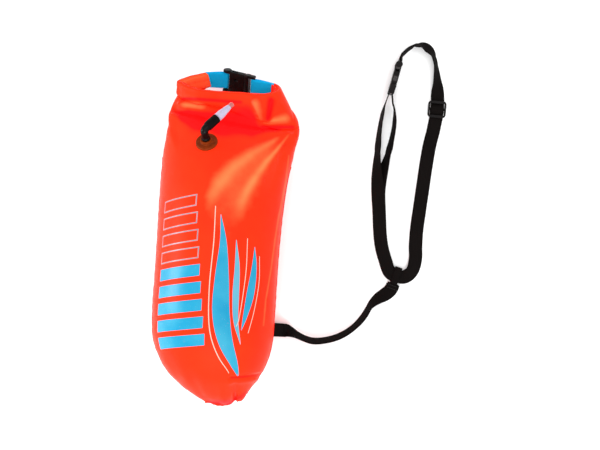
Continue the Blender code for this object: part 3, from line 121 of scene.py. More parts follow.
# Webbing and buckles
WEBBING = 0.025
WEBBING_THICKNESS = 0.0015
TAB_WIDTH = 0.030
TAB_THICKNESS = 0.0014
BUCKLE_RAIL = 0.0045
BUCKLE_LENGTH = 0.060
BUCKLE_BAR = 0.004           # bar that the webbing wraps
PRONG_PROUD = 0.0010         # how far the release pads stand out of the sides
WEB_CLEAR = 0.0010           # each side of the webbing in its slot
TAB_LAYER_GAP = 0.0004
TAB_STRAIGHT = 0.006         # of the tab's end, level with the buckle
TAB_LEVEL_SHARE = 1.3        # of the bar's width, where the level part starts

# Valve
FLANGE_RADIUS = 0.0192
FLANGE_THICKNESS = 0.0016
SOCKET_RADIUS = 0.0098
SOCKET_HEIGHT = 0.0060
STEM_RADIUS = 0.0070
STEM_BORE = 0.0042
ARM_AXIS = (0.62, 0.70, -0.36)
SLEEVE_RADIUS = 0.0086
SLEEVE_LENGTH = 0.0330
MOUTHPIECE_LENGTH = 0.0310
MOUTHPIECE_RADIUS = 0.0076
MOUTHPIECE_TIP_RADIUS = 0.0046
MOUTHPIECE_BORE = 0.0026
TIP_LENGTH = 0.0080
FLANGE_LIFT = 0.0010         # foam under the flange takes up the bag's curve
BARREL_DEPTH = 0.0090
KNUCKLE_RADIUS_SHARE = 1.04
POPPET_HEAD = 0.0016
SEAT_DEPTH = 0.0045
SPRING_WIRE = 0.0004
SPRING_TURNS = 4
SPRING_RADIUS = 0.0021
TWIST_NECK_LENGTH = 0.0070
ARM_TUBE_RADIUS = 0.0066
ARM_TUBE_BORE = 0.0040
ARM_TUBE_END = 0.0245
SLEEVE_START = 0.0080
NECK_RADIUS = 0.0060

# Leash anchor, leash and belt
ANCHOR_Y = -0.170
ANCHOR_ANGLE = math.radians(-42.0)
PATCH_SIZE = 0.046
PATCH_THICKNESS = 0.0012
ANCHOR_TAB_LENGTH = 0.012
RING_WIRE = 0.0020           # radius of the anchor ring's wire
RING_BAR_SPACING = 0.017
SLIDER_LENGTH = 0.031
SLIDER_THICKNESS = 0.0034
SLIDER_BAR = 0.0046
FLOOR_CLEAR = 0.0003
BAR_MARGIN = 0.0008          # the webbing stays level this far past a bar's edges
HITCH_CLEAR = 0.0025         # in the plane of the webbing
HITCH_HEAD_CLEAR = 0.0004    # above and below it
HITCH_LOW = 0.0022           # lowest face of the belt inside the hitch, as in the route
LEASH_END_RUN = 0.010

CURVE_STEPS = 12
MM = 0.001


def link(made):
    bpy.context.scene.collection.objects.link(made)
    return made


def shares(count):
    return [i / count for i in range(count + 1)]


def smoothstep(value):
    value = min(max(value, 0.0), 1.0)
    return value * value * (3.0 - 2.0 * value)


def eased(values):
    """The same soft step for an array."""
    values = np.clip(values, 0.0, 1.0)
    return values * values * (3.0 - 2.0 * values)


def catmull(before, start, end, after, t):
    return 0.5 * (
        2.0 * start
        + (end - before) * t
        + (2.0 * before - 5.0 * start + 4.0 * end - after) * t ** 2
        + (3.0 * start - before - 3.0 * end + after) * t ** 3
    )


def smooth_path(points, steps=CURVE_STEPS):
    """Points on a smooth curve through the given vectors."""
    ends = [2.0 * points[0] - points[1]] + list(points) + [2.0 * points[-1] - points[-2]]
    path = []
    for i in range(len(points) - 1):
        path += [catmull(*ends[i:i + 4], step / steps) for step in range(steps)]
    return path + [points[-1].copy()]


def direction(points, i):
    """Unit vector along a route at its point i."""
    return (points[min(i + 1, len(points) - 1)] - points[max(i - 1, 0)]).normalized()


def run_lengths(points):
    """Length of the route up to each of its points."""
    run = [0.0]
    for first, second in zip(points, points[1:]):
        run.append(run[-1] + (second - first).length)
    return run


STATIONS = np.array(STATION_SHARES)
STATIONS_BEFORE = np.concatenate([STATIONS[:1], STATIONS[:-1]])
STATIONS_AFTER = np.concatenate([STATIONS[1:], STATIONS[-1:]])
STATION_RISES = STATIONS_AFTER - STATIONS_BEFORE
STATION_SLOPES = STATION_RISES[:, 1:] / STATION_RISES[:, :1]


def station(t):
    """Half widths, sideways offsets, tops and bottoms of the round body at shares t of its length."""
    row = np.clip(np.searchsorted(STATIONS[:, 0], t, "right") - 1, 0, len(STATIONS) - 2)
    start, end = STATIONS[row], STATIONS[row + 1]
    span = end[..., :1] - start[..., :1]
    h = (np.asarray(t)[..., None] - start[..., :1]) / span
    half_width, offset, top, bottom = np.moveaxis(
        start[..., 1:] * (2 * h ** 3 - 3 * h ** 2 + 1)
        + STATION_SLOPES[row] * span * (h ** 3 - 2 * h ** 2 + h)
        + end[..., 1:] * (3 * h ** 2 - 2 * h ** 3)
        + STATION_SLOPES[row + 1] * span * (h ** 3 - h ** 2), -1, 0)
    low = bottom * (BODY_TOP_Z + REST_SINK) - REST_SINK
    return half_width * BODY_RADIUS, offset * BODY_RADIUS, top * BODY_TOP_Z, low


X_AXIS = Vector((1.0, 0.0, 0.0))
Y_AXIS = Vector((0.0, 1.0, 0.0))
Z_AXIS = Vector((0.0, 0.0, 1.0))

# The ring of the roll-top, in its own tilted plane
RING_DEPTH_AXIS = Vector((0.0, math.sin(RING_TILT), -math.cos(RING_TILT)))
RING_AXIS = Vector((0.0, math.cos(RING_TILT), math.sin(RING_TILT)))


def ring_world(across, depth, along=0.0):
    return (
        Vector(RING_CENTRE)
        + X_AXIS * across
        + RING_DEPTH_AXIS * depth
        + RING_AXIS * along
    )


RING_LINE = smooth_path([Vector((x * RING_HALF_WIDTH, d * RING_HALF_DEPTH)) for x, d in RING_SHARES])
RING_ARC = run_lengths(RING_LINE)


def ring_at(arc):
    """Point and outward normal of the ring's middle line at an arc length."""
    arc = min(max(arc, 0.0), RING_ARC[-1])
    index = max(i for i in range(len(RING_ARC) - 1) if RING_ARC[i] <= arc)
    share = (arc - RING_ARC[index]) / (RING_ARC[index + 1] - RING_ARC[index])
    point = RING_LINE[index].lerp(RING_LINE[index + 1], share)
    low = RING_LINE[max(index - 1, 0)]
    high = RING_LINE[min(index + 2, len(RING_LINE) - 1)]
    along = (high - low).normalized()
    normal = Vector((along.y, -along.x))
    return point, normal * -1.0 if normal.dot(point) < 0.0 else normal


def arc_at_x(across, last):
    """Arc length where the ring line passes a sideways place, at its first or last passing."""
    crossings = [
        RING_ARC[i]
        for i in range(len(RING_LINE) - 1)
        if (RING_LINE[i].x - across) * (RING_LINE[i + 1].x - across) <= 0.0
    ]
    return crossings[-1] if last else crossings[0]


ROLL_START = arc_at_x(ROLL_LEFT_X_SHARE * RING_HALF_WIDTH, last=False)
ROLL_END = arc_at_x(ROLL_RIGHT_X_SHARE * RING_HALF_WIDTH, last=True)


def roll_arc(u):
    """Arc length at a place across the roll, from -1 at its left end to 1 at its right end."""
    return ROLL_START + (ROLL_END - ROLL_START) * (u + 1.0) / 2.0


def hairpin(edge, inward, aside, radius, steps=8):
    """Half turn of webbing round a bar's inner edge, from its +aside face to its -aside face."""
    return [
        edge + inward * radius * math.sin(math.pi * s) + aside * radius * math.cos(math.pi * s)
        for s in shares(steps)
    ]


def frame_matrix(centre, x_axis, y_axis):
    """A placing matrix from a centre, an X axis and a Y axis square to it."""
    x = x_axis.normalized()
    y = (y_axis - x * y_axis.dot(x)).normalized()
    z = x.cross(y)
    made = Matrix((x, y, z)).transposed().to_4x4()
    made.translation = centre
    return made


def closure_place():
    """The closure buckle spans the gap at the back of the ring, its width along the ring's axis."""
    left = ring_world(RING_SHARES[0][0] * RING_HALF_WIDTH, RING_SHARES[0][1] * RING_HALF_DEPTH)
    right = ring_world(RING_SHARES[-1][0] * RING_HALF_WIDTH, RING_SHARES[-1][1] * RING_HALF_DEPTH)
    return frame_matrix((left + right) / 2.0, right - left, RING_AXIS)


def anchor_t():
    return (ANCHOR_Y - BASE_Y) / BODY_LENGTH


ANCHOR_U = 1.0 + 2.0 * ANCHOR_ANGLE / math.pi
ANCHOR_NORMAL = Vector((math.cos(ANCHOR_ANGLE), 0.0, math.sin(ANCHOR_ANGLE)))
RING_REACH = Vector((0.95, 0.0, -0.30)).normalized()


def anchor_point():
    surface = skin_base(np.array(anchor_t()), np.array(ANCHOR_U), -1)
    return Vector(surface) + ANCHOR_NORMAL * (PATCH_THICKNESS + 2.0 * FIT_GAP)


def anchor_bars():
    near = anchor_point() + ANCHOR_NORMAL * ANCHOR_TAB_LENGTH
    return near, near + RING_REACH * RING_BAR_SPACING


WRAP_RADIUS = RING_WIRE + FIT_GAP + WEBBING_THICKNESS / 2.0


def route_rows(*rows):
    """Rows of X, Y, turn from flat in degrees and lowest edge over the floor, from millimetres to metres."""
    return tuple((x * MM, y * MM, turn, low * MM) for x, y, turn, low in rows)


# The leash turns on its edge sooner than its solid does; the belt lies as its solids do
LEASH_ROUTE = route_rows(
    (138, -171.2, 37, 2.5), (150, -175.2, 60, 1.5), (165, -181.2, 67, 1.2), (183, -185.8, 66, 0.6),
    (205, -183.2, 67, 0.3), (228, -175.5, 67, 0.3), (247, -164, 68, 0.3), (264, -148, 72, 0.3),
    (276.5, -130.5, 76, 0.3), (285, -113, 66, 0.3), (298.5, -99, 40, 0.3), (313, -89, 14, 1),
)
BELT_TOP_ROUTE = route_rows(
    (309, 356, 90, 6.6), (319, 366.8, 90, 4.5), (329.2, 374.2, 86, 1.5), (337.9, 377.5, 76, 0.3),
    (346.6, 378, 58, 0.3), (356, 374.5, 44, 0.3), (364.5, 366.5, 54, 0.3), (371, 354.5, 74, 0.3),
    (375.5, 338, 66, 0.3), (379.5, 313, 46, 0.3), (381.5, 296, 18, 1), (382.4, 285, 0, 2.3),
)
BELT_SIDE_ROUTE = route_rows(
    (379, 220, 0, 0.3), (373.8, 190, 0, 0.3), (370, 150, 0, 0.3), (367.2, 110, 0, 0.3),
    (364.3, 70, 0, 0.3), (362, 35, 0, 0.3), (362, 5, 4, 0.3), (363.2, -20, 12, 0.3),
    (358.5, -42, 22, 0.3), (345, -54.5, 3, 1.8), (330, -53, 0, 2.2), (317, -47, 0, 1.8),
    (307, -24, 8, 0.3), (299, -1, 6, 0.3), (294, 25, 4, 0.3), (290, 60, 4, 0.3),
)
BELT_MALE_ROUTE = route_rows(
    (284.5, 105, 20, 0.3), (281, 145, 52, 0.3), (280.5, 190, 78, 0.3), (282, 225, 88, 1.8),
    (285.5, 252, 90, 4.5), (288.5, 266, 90, 6.3),
)
BELT_RETURN_ROUTE = route_rows(
    (286.2, 105, 18, 0.3), (292.5, 145, 52, 0.3), (301, 190, 80, 0.3), (305, 225, 88, 1.8),
    (303.5, 252, 90, 4.5), (299, 266, 90, 6.3),
)
BELT_BUCKLE_CENTRE = (0.2995, 0.3120)
BELT_BUCKLE_HEADING = (-0.199, -0.980)
SLIDER_CENTRE = (0.3828, 0.2620)
SLIDER_HEADING = (-0.0175, -0.9998)
HITCH_PLACE = (0.3300, -0.0530)
HITCH_HEADING = (-0.966, 0.259)
HITCH_WIDTH = 0.014
HITCH_WALL = 0.0015
STRAND_GAP = 0.0013          # between the belt's two layers
TAIL_LENGTH = 0.028          # sewn tail of the belt's loops
LOOP_LENGTH = 0.018          # of the leash's loop on the anchor ring
LEAD_LENGTH = 0.004          # of the leash, straight on from that loop
TAIL_STEPS = 4


def lay_route(rows, layer=0):
    """Centre points and width axes of webbing that lies on its face or leans on an edge."""
    flat = smooth_path([Vector((x, y, 0.0)) for x, y, _, _ in rows])
    extra = smooth_path([Vector((turn, low, 0.0)) for _, _, turn, low in rows])
    points, axes = [], []
    for i, (spot, more) in enumerate(zip(flat, extra)):
        along = direction(flat, i)
        aside = Vector((along.y, -along.x, 0.0))
        turn = math.radians(more.x)
        axis = aside * math.cos(turn) + Z_AXIS * math.sin(turn)
        through = aside * -math.sin(turn) + Z_AXIS * math.cos(turn)
        rise = WEBBING / 2.0 * abs(math.sin(turn)) + WEBBING_THICKNESS / 2.0 * math.cos(turn)
        height = more.y + rise
        offset = layer * (WEBBING_THICKNESS + STRAND_GAP)
        points.append(spot + Z_AXIS * height + through * offset)
        axes.append(axis)
    return points, axes


def leash_loop_points(bar):
    inward = -RING_REACH
    aside = Y_AXIS.cross(RING_REACH).normalized()
    if aside.z < 0.0:
        aside.negate()
    low = near_layer()
    legs = [
        (RING_REACH * LOOP_LENGTH * s, WRAP_RADIUS + (low - WRAP_RADIUS) * smoothstep(s * 2.0))
        for s in shares(3 * TAIL_STEPS)[1:]
    ]
    turn = hairpin(bar, inward, -aside, WRAP_RADIUS, 16)
    return [bar + run - aside * spread for run, spread in reversed(legs)] + turn + [
        bar + run + aside * spread for run, spread in legs]


def leash_route(start):
    points, axes = lay_route(LEASH_ROUTE + leash_end())
    first = start + RING_REACH * FIT_GAP
    return [first, first + RING_REACH * LEAD_LENGTH] + points, [-Y_AXIS] * 2 + axes


def leash_end():
    """The leash's last two route points, which meet the hitch's side squarely."""
    place = hitch_frame()
    side = -Y_AXIS if (place.to_3x3() @ Y_AXIS).y > 0.0 else Y_AXIS
    reach = hitch_half_width() + 3.0 * FIT_GAP
    rows = []
    for away in (LEASH_END_RUN, 0.0):
        spot = place @ (side * (reach + away))
        rows.append((spot.x, spot.y, 0, HITCH_LOW))
    return tuple(rows)


def near_layer():
    return (WEBBING_THICKNESS + STRAND_GAP) / 2.0


def belt_buckle_place():
    heading = Vector((*BELT_BUCKLE_HEADING, 0.0))
    half_width = WEBBING / 2.0 + WEB_CLEAR + BUCKLE_RAIL
    height = half_width + PRONG_PROUD + FLOOR_CLEAR
    return frame_matrix(Vector((*BELT_BUCKLE_CENTRE, height)), heading, Z_AXIS)


def wrap_points(edge, inward, aside, bar, radius, tail, tail_sign):
    """A loop round a bar: the sewn tail on one face, the half turn, and the first point after it."""
    outward = -inward
    legs = [
        edge + outward * (bar + tail * s)
        + aside * tail_sign * (radius + (near_layer() - radius) * smoothstep(2.0 * s))
        for s in reversed(shares(TAIL_STEPS))
    ]
    return legs + hairpin(edge, inward, aside * tail_sign, radius)


def belt_sides(buckle):
    """The direction that faces the part's right on the standing belt buckle."""
    right = buckle.place.to_3x3() @ Z_AXIS
    return right if right.x > 0.0 else -right


def slider_frame():
    height = slider_drop() + STRAND_GAP + 1.5 * WEBBING_THICKNESS + FLOOR_CLEAR
    heading = Vector((*SLIDER_HEADING, 0.0))
    return frame_matrix(Vector((*SLIDER_CENTRE, height)), heading, X_AXIS)


def slider_drop():
    """How far the webbing's middle lies from the slider's middle where it touches a bar."""
    return SLIDER_THICKNESS / 2.0 + FIT_GAP + WEBBING_THICKNESS / 2.0


def slider_bar_x():
    return (SLIDER_LENGTH - SLIDER_BAR) / 2.0


def belt_main_points(buckle):
    """Female bar, over the top, through the slider, down, through the hitch and up to the male bar."""
    right = belt_sides(buckle)
    axis = buckle.place.to_3x3() @ X_AXIS
    top_edge = buckle.place @ Vector((-buckle.bar_edge, 0.0, 0.0))
    points = wrap_points(top_edge, axis, right, BUCKLE_BAR, buckle.bend_radius, TAIL_LENGTH, -1)
    points.append(top_edge - axis * BUCKLE_BAR + right * buckle.bend_radius)
    axes = [Z_AXIS] * len(points)
    route, route_axes = lay_route(BELT_TOP_ROUTE)
    points += route
    axes += [-a for a in route_axes] if route_axes[0].dot(Z_AXIS) < 0.0 else route_axes
    place = slider_frame()
    low, high = -slider_drop(), slider_drop() + WEBBING_THICKNESS + 2.0 * FIT_GAP
    bar = slider_bar_x()
    half = SLIDER_BAR / 2.0 + BAR_MARGIN
    weave = [(-bar - half, low), (-bar + half, low), (-half - BAR_MARGIN, high), (half, high),
             (bar - half, low), (bar + half, low)]
    points += [place @ Vector((x, 0.0, z)) for x, z in weave]
    axes += [place.to_3x3() @ Y_AXIS] * len(weave)
    side, side_axes = lay_route(BELT_SIDE_ROUTE + BELT_MALE_ROUTE, layer=1)
    points += side
    axes += side_axes
    bottom_edge = buckle.place @ Vector((buckle.bar_edge, 0.0, 0.0))
    points.append(bottom_edge + axis * BUCKLE_BAR - right * buckle.bend_radius)
    turn = hairpin(bottom_edge, -axis, -right, buckle.bend_radius)
    points += turn
    axes += [Z_AXIS] * (len(turn) + 1)
    return points, axes


def belt_return_points(buckle):
    """The male bar, down beside the main run, and round the slider's middle bar."""
    right = belt_sides(buckle)
    axis = buckle.place.to_3x3() @ X_AXIS
    bottom_edge = buckle.place @ Vector((buckle.bar_edge, 0.0, 0.0))
    start = bottom_edge + axis * FIT_GAP + right * buckle.bend_radius
    points = [start, bottom_edge + axis * BUCKLE_BAR + right * buckle.bend_radius]
    axes = [Z_AXIS] * 2
    away, away_axes = lay_route(BELT_SIDE_ROUTE + BELT_RETURN_ROUTE)
    points += reversed(away)
    axes += reversed(away_axes)
    place = slider_frame()
    bar = slider_bar_x()
    half = SLIDER_BAR / 2.0
    drop = slider_drop()
    under = -drop - WEBBING_THICKNESS - STRAND_GAP
    points += [place @ Vector((x, 0.0, z)) for x, z in (
        (bar + half + BAR_MARGIN, under), (bar - half - BAR_MARGIN, under), (half, -drop))]
    edge = place @ Vector((-half + SLIDER_THICKNESS / 6.0, 0.0, 0.0))
    turn = hairpin(edge, -(place.to_3x3() @ X_AXIS), -Z_AXIS, drop)
    points += turn
    points.append(place @ Vector((0.0, 0.0, drop)))
    axes += [place.to_3x3() @ Y_AXIS] * (4 + len(turn))
    return points, axes


def hitch_frame():
    heading = Vector((*HITCH_HEADING, 0.0))
    height = HITCH_LOW + WEBBING_THICKNESS + STRAND_GAP / 2.0
    return frame_matrix(Vector((*HITCH_PLACE, height)), heading, Z_AXIS.cross(heading))


def hitch_half_width():
    return WEBBING / 2.0 + HITCH_CLEAR + HITCH_WALL


def rounded_section(half_thickness, half_width, corner, steps=3):
    points = []
    for quarter, (a, b) in enumerate(((1, 1), (-1, 1), (-1, -1), (1, -1))):
        for step in range(steps + 1):
            angle = math.pi / 2.0 * (quarter + step / steps)
            points.append((
                a * (half_thickness - corner) + corner * math.cos(angle),
                b * (half_width - corner) + corner * math.sin(angle),
            ))
    return points


# Materials


class Shader:
    """A principled material and short ways to wire its nodes."""

    def __init__(self, name, colour, roughness, metallic=0.0, specular=0.5, coat=0.0, coat_rough=0.2,
                 sheen=0.0, subsurface=0.0, transmission=0.0):
        self.made = bpy.data.materials.new(name)
        self.made.use_nodes = True
        self.tree = self.made.node_tree
        self.out = self.tree.nodes["Principled BSDF"]
        self.height = None
        for socket, value in (
            ("Base Color", colour), ("Roughness", roughness), ("Metallic", metallic),
            ("Specular IOR Level", specular), ("Coat Weight", coat), ("Coat Roughness", coat_rough),
            ("Sheen Weight", sheen), ("Subsurface Weight", subsurface),
            ("Transmission Weight", transmission),
        ):
            self.set(socket, value)

    def feed(self, socket, value):
        """Sets a socket to a number or a colour, or links it to another node's output."""
        if isinstance(value, (int, float)):
            socket.default_value = value
        elif isinstance(value, tuple):
            socket.default_value = (*value, 1.0)
        else:
            self.tree.links.new(value, socket)

    def set(self, socket, value):
        self.feed(self.out.inputs[socket], value)

    def node(self, kind, **values):
        """A new node; each value is an attribute of it, or else goes to the input of that name."""
        made = self.tree.nodes.new(kind)
        for key, value in values.items():
            if hasattr(made, key):
                setattr(made, key, value)
            else:
                self.feed(made.inputs[key.replace("_", " ")], value)
        return made

    def math(self, operation, *values, clamp=False):
        made = self.node("ShaderNodeMath", operation=operation, use_clamp=clamp)
        for slot, value in enumerate(values):
            self.feed(made.inputs[slot], value)
        return made.outputs[0]

    def plus(self, first, second):
        return self.math("ADD", first, second)

    def times(self, first, second):
        return self.math("MULTIPLY", first, second)

    def place(self):
        """Object coordinates in metres."""
        return self.node("ShaderNodeTexCoord").outputs["Object"]

    def across_along(self, uv):
        """UV coordinates in metres, as two numbers."""
        pair = self.node("ShaderNodeUVMap", uv_map=uv).outputs["UV"]
        split = self.node("ShaderNodeSeparateXYZ", Vector=pair)
        return split.outputs[0], split.outputs[1]

    def noise(self, scale, detail=3.0, roughness=0.55):
        made = self.node("ShaderNodeTexNoise", Scale=scale, Detail=detail, Roughness=roughness)
        self.feed(made.inputs["Vector"], self.place())
        return made.outputs["Fac"]

    def ramp(self, factor, *stops):
        made = self.node("ShaderNodeValToRGB", Fac=factor)
        for element, (place, colour) in zip(made.color_ramp.elements, stops):
            element.position = place
            element.color = (*colour, 1.0)
        return made.outputs["Color"]

    def mix(self, factor, first, second):
        made = self.node("ShaderNodeMix", data_type="RGBA")
        for slot, value in ((0, factor), (6, first), (7, second)):
            self.feed(made.inputs[slot], value)
        return made.outputs[2]

    def roughen(self, factor, low, high):
        """Lets the roughness follow a noise."""
        made = self.node("ShaderNodeMapRange", Value=factor, From_Min=0.25, From_Max=0.75, To_Min=low,
                         To_Max=high)
        self.set("Roughness", made.outputs[0])

    def add_height(self, value, depth):
        scaled = self.times(value, depth)
        self.height = scaled if self.height is None else self.plus(self.height, scaled)

    def finish(self, strength):
        """Wires the summed heights, in metres, as a bump."""
        bump = self.node("ShaderNodeBump", Strength=strength, Distance=1.0, Height=self.height)
        self.set("Normal", bump.outputs["Normal"])
        return self.made


WEAVE = 0.0009               # from thread to thread of the coated fabric


def shell_material():
    """Coated fabric over a fine plain weave, with painted shade, deeper red, on the folds and under the
    roll, and painted highlights, paler orange, on lit folds and streaks.
    """
    s = Shader("orange_shell", (0.98, 0.028, 0.003), 0.36, specular=0.10)
    s.set("IOR", 1.25)
    broad = s.noise(9.0)
    worn = s.noise(38.0, 5.0, 0.65)
    colour = s.ramp(broad, (0.30, (0.94, 0.0215, 0.0050)), (0.70, (1.00, 0.0300, 0.0058)))
    scuffs = s.ramp(worn, (0.62, (0, 0, 0)), (0.78, (0.16, 0.16, 0.16)))
    colour = s.mix(scuffs, colour, (1.0, 0.040, 0.009))
    # Painted light: the stored tone, roughened by a noise, is painted shade below zero and painted highlight
    # above zero
    tone = s.node("ShaderNodeAttribute", attribute_name="tone").outputs["Fac"]
    ragged_painted_shading = s.plus(tone, s.times(s.math("SUBTRACT", s.noise(60.0), 0.5), 0.25))
    deep = s.math("MULTIPLY", ragged_painted_shading, -1.5, clamp=True)
    # Painted shade: the colour turns crimson where the tone is below zero
    colour = s.mix(s.math("SUBTRACT", deep, 0.06, clamp=True), colour, (0.94, 0.0045, 0.007))
    painted_highlight = s.math("SUBTRACT", ragged_painted_shading, 0.08, clamp=True)
    # Painted highlight: the colour turns pale orange where the tone is above zero
    s.set("Base Color", s.mix(painted_highlight, colour, (1.0, 0.205, 0.065)))
    s.roughen(s.plus(s.times(broad, 0.6), s.times(worn, 0.4)), 0.30, 0.44)
    across, along = (s.math("SINE", s.times(way, 2.0 * math.pi / WEAVE)) for way in s.across_along("skin"))
    s.add_height(s.times(across, along), 0.000012)
    s.add_height(s.noise(900.0, 2.0), 0.00003)
    s.add_height(s.noise(55.0, 3.0, 0.5), 0.0006)
    return s.finish(0.6)


def tape_material():
    """Weld tape: a little darker than the shell, with a fine knurl from the welding tool."""
    s = Shader("orange_tape", (0.93, 0.024, 0.003), 0.42, specular=0.12)
    s.set("IOR", 1.25)
    broad = s.noise(30.0, 4.0)
    s.set("Base Color", s.ramp(broad, (0.3, (0.88, 0.016, 0.0040)), (0.7, (0.99, 0.026, 0.0052))))
    s.roughen(broad, 0.36, 0.5)
    knurl = s.node("ShaderNodeTexVoronoi", feature="F1", Scale=620.0, Vector=s.place())
    s.add_height(knurl.outputs["Distance"], 0.00018)
    s.add_height(s.noise(90.0, 2.0), 0.0005)
    return s.finish(0.7)


def webbing_material(name, dark, light, rib=0.0013, sheen=0.25):
    """Woven webbing: ribs across its width, broken into chevrons, with fuzz and dusty wear."""
    s = Shader(name, dark, 0.82, specular=0.04, sheen=sheen)
    u, v = s.across_along("web")
    half_column = 0.0021
    rate = 2.0 * math.pi / rib
    zigzag = s.math("PINGPONG", u, half_column)
    ribs = s.math("SINE", s.plus(s.times(v, rate), s.times(zigzag, rate)))
    cords = s.math("ABSOLUTE", s.math("SINE", s.times(u, math.pi / half_column)))
    thread = s.noise(2600.0, 2.0)
    wear = s.noise(24.0, 4.0, 0.6)
    height = s.plus(s.times(ribs, 0.5), s.times(cords, 0.6))
    tone = s.plus(s.plus(s.times(height, 0.25), s.times(thread, 0.5)), s.times(wear, 0.35))
    s.set("Base Color", s.ramp(tone, (0.25, dark), (0.85, light)))
    s.add_height(height, 0.00011)
    s.add_height(thread, 0.00006)
    s.roughen(wear, 0.74, 0.90)
    return s.finish(0.9)


def moulded_material(name, dark, light, roughness=0.42, grain=1400.0, specular=0.3, **more):
    """Injection-moulded plastic: fine spark-eroded grain, soft scuffs and a slight colour drift."""
    s = Shader(name, dark, roughness, specular=specular, **more)
    scuff = s.noise(160.0, 5.0, 0.65)
    s.set("Base Color", s.ramp(scuff, (0.35, dark), (0.80, light)))
    s.roughen(scuff, roughness - 0.08, roughness + 0.14)
    s.add_height(s.noise(grain, 2.0), 0.00005)
    return s.finish(0.6)


def print_material(name, low, high, roughness=0.34):
    """Screen print: a thin even ink film that follows the fabric, with small pinholes and drift."""
    s = Shader(name, low, roughness, specular=0.12, coat=0.05, coat_rough=0.22)
    broad = s.noise(14.0)
    pinholes = s.ramp(s.noise(700.0, 2.0), (0.70, (0, 0, 0)), (0.76, (0.35, 0.35, 0.35)))
    ink = s.ramp(broad, (0.3, low), (0.7, high))
    s.set("Base Color", s.mix(pinholes, ink, (0.90, 0.06, 0.02)))
    s.roughen(broad, roughness - 0.05, roughness + 0.08)
    s.add_height(s.noise(900.0, 2.0), 0.00003)
    s.add_height(s.noise(55.0, 3.0, 0.5), 0.0006)
    return s.finish(0.6)


SHELL = shell_material()
TAPE = tape_material()
BLACK = ((0.0022, 0.0015, 0.0014), (0.0060, 0.0042, 0.0040))
WEB = webbing_material("black_webbing", (0.0016, 0.0011, 0.0010), (0.0075, 0.0056, 0.0052), sheen=0.0)
BLUE_WEB = webbing_material("blue_webbing", (0.001, 0.33, 0.66), (0.008, 0.52, 0.92), 0.0011, sheen=0.02)
THREAD = webbing_material("black_thread", (0.004, 0.0032, 0.0030), (0.018, 0.015, 0.014), 0.0006, sheen=0.0)
GREY_THREAD = webbing_material("grey_thread", (0.02, 0.019, 0.019), (0.06, 0.056, 0.055), 0.0006, sheen=0.0)
BLUE_THREAD = webbing_material("blue_thread", (0.002, 0.24, 0.50), (0.01, 0.40, 0.72), 0.0006, sheen=0.02)
PLASTIC = moulded_material("black_plastic", (0.0026, 0.0018, 0.0018), (0.0070, 0.0052, 0.0050), 0.34,
                           specular=0.09)
GREY_PLASTIC = moulded_material("grey_plastic", (0.022, 0.019, 0.019), (0.075, 0.068, 0.066), 0.4,
                                specular=0.1)
GLOSSY = moulded_material("valve_black", *BLACK, 0.4, coat=0.12, coat_rough=0.05, specular=0.03)
OLIVE = moulded_material("olive_plastic", (0.13, 0.017, 0.001), (0.22, 0.028, 0.002), 0.45, specular=0.06)
RUBBER = moulded_material("black_rubber", *BLACK, 0.5, grain=800.0, specular=0.05)
MOUTH = moulded_material("mouthpiece_white", (0.36, 0.33, 0.45), (0.47, 0.43, 0.56), 0.3, subsurface=0.1)
SOFT_TIP = moulded_material("tip_silicone", (0.50, 0.12, 0.11), (0.62, 0.20, 0.19), 0.25, transmission=0.3)
BLUE_INK = print_material("blue_ink", (0.002, 0.215, 0.380), (0.030, 0.290, 0.430))
PALE_INK = print_material("pale_ink", (0.075, 0.290, 0.400), (0.120, 0.340, 0.440))
SILVER_INK = print_material("silver_ink", (0.170, 0.180, 0.205), (0.235, 0.245, 0.270), 0.3)
CREAM_INK = print_material("cream_ink", (0.52, 0.38, 0.30), (0.58, 0.45, 0.38))
STEEL = moulded_material("spring_wire", (0.55, 0.55, 0.56), (0.70, 0.70, 0.72), 0.25, metallic=1.0)
FILM = moulded_material("liner_film", (0.45, 0.06, 0.02), (0.55, 0.10, 0.04), 0.45)
STRIP = moulded_material("strip_grey", (0.16, 0.16, 0.17), (0.24, 0.24, 0.25), 0.5)


# Mesh helpers


def mend(mesh, merge=None):
    """Turns the faces outwards, after joining points that lie nearer than `merge`."""
    bm = bmesh.new()
    bm.from_mesh(mesh)
    if merge:
        bmesh.ops.remove_doubles(bm, verts=bm.verts, dist=merge)
    bmesh.ops.recalc_face_normals(bm, faces=bm.faces)
    bm.to_mesh(mesh)
    bm.free()


def mesh_object(name, verts, faces, finish, uv_name=None, pairs=()):
    """An object with outward faces and one finish; pairs are its UV values, one for each corner."""
    mesh = bpy.data.meshes.new(name)
    mesh.from_pydata([tuple(v) for v in verts], [], faces)
    if uv_name:
        layer = mesh.uv_layers.new(name=uv_name)
        if pairs:
            layer.data.foreach_set("uv", [c for pair in pairs for c in pair])
    mesh.validate()
    mesh.materials.append(finish)
    mend(mesh)
    return link(bpy.data.objects.new(name, mesh))


def bar_faces(base, rings, sides):
    """Faces of a closed bar through rings of points, with both its ends."""
    last = base + (rings - 1) * sides
    faces = [tuple(range(base, base + sides))[::-1], tuple(range(last, last + sides))]
    for row in range(base, last, sides):
        for j in range(sides):
            k = (j + 1) % sides
            faces.append((row + j, row + k, row + sides + k, row + sides + j))
    return faces


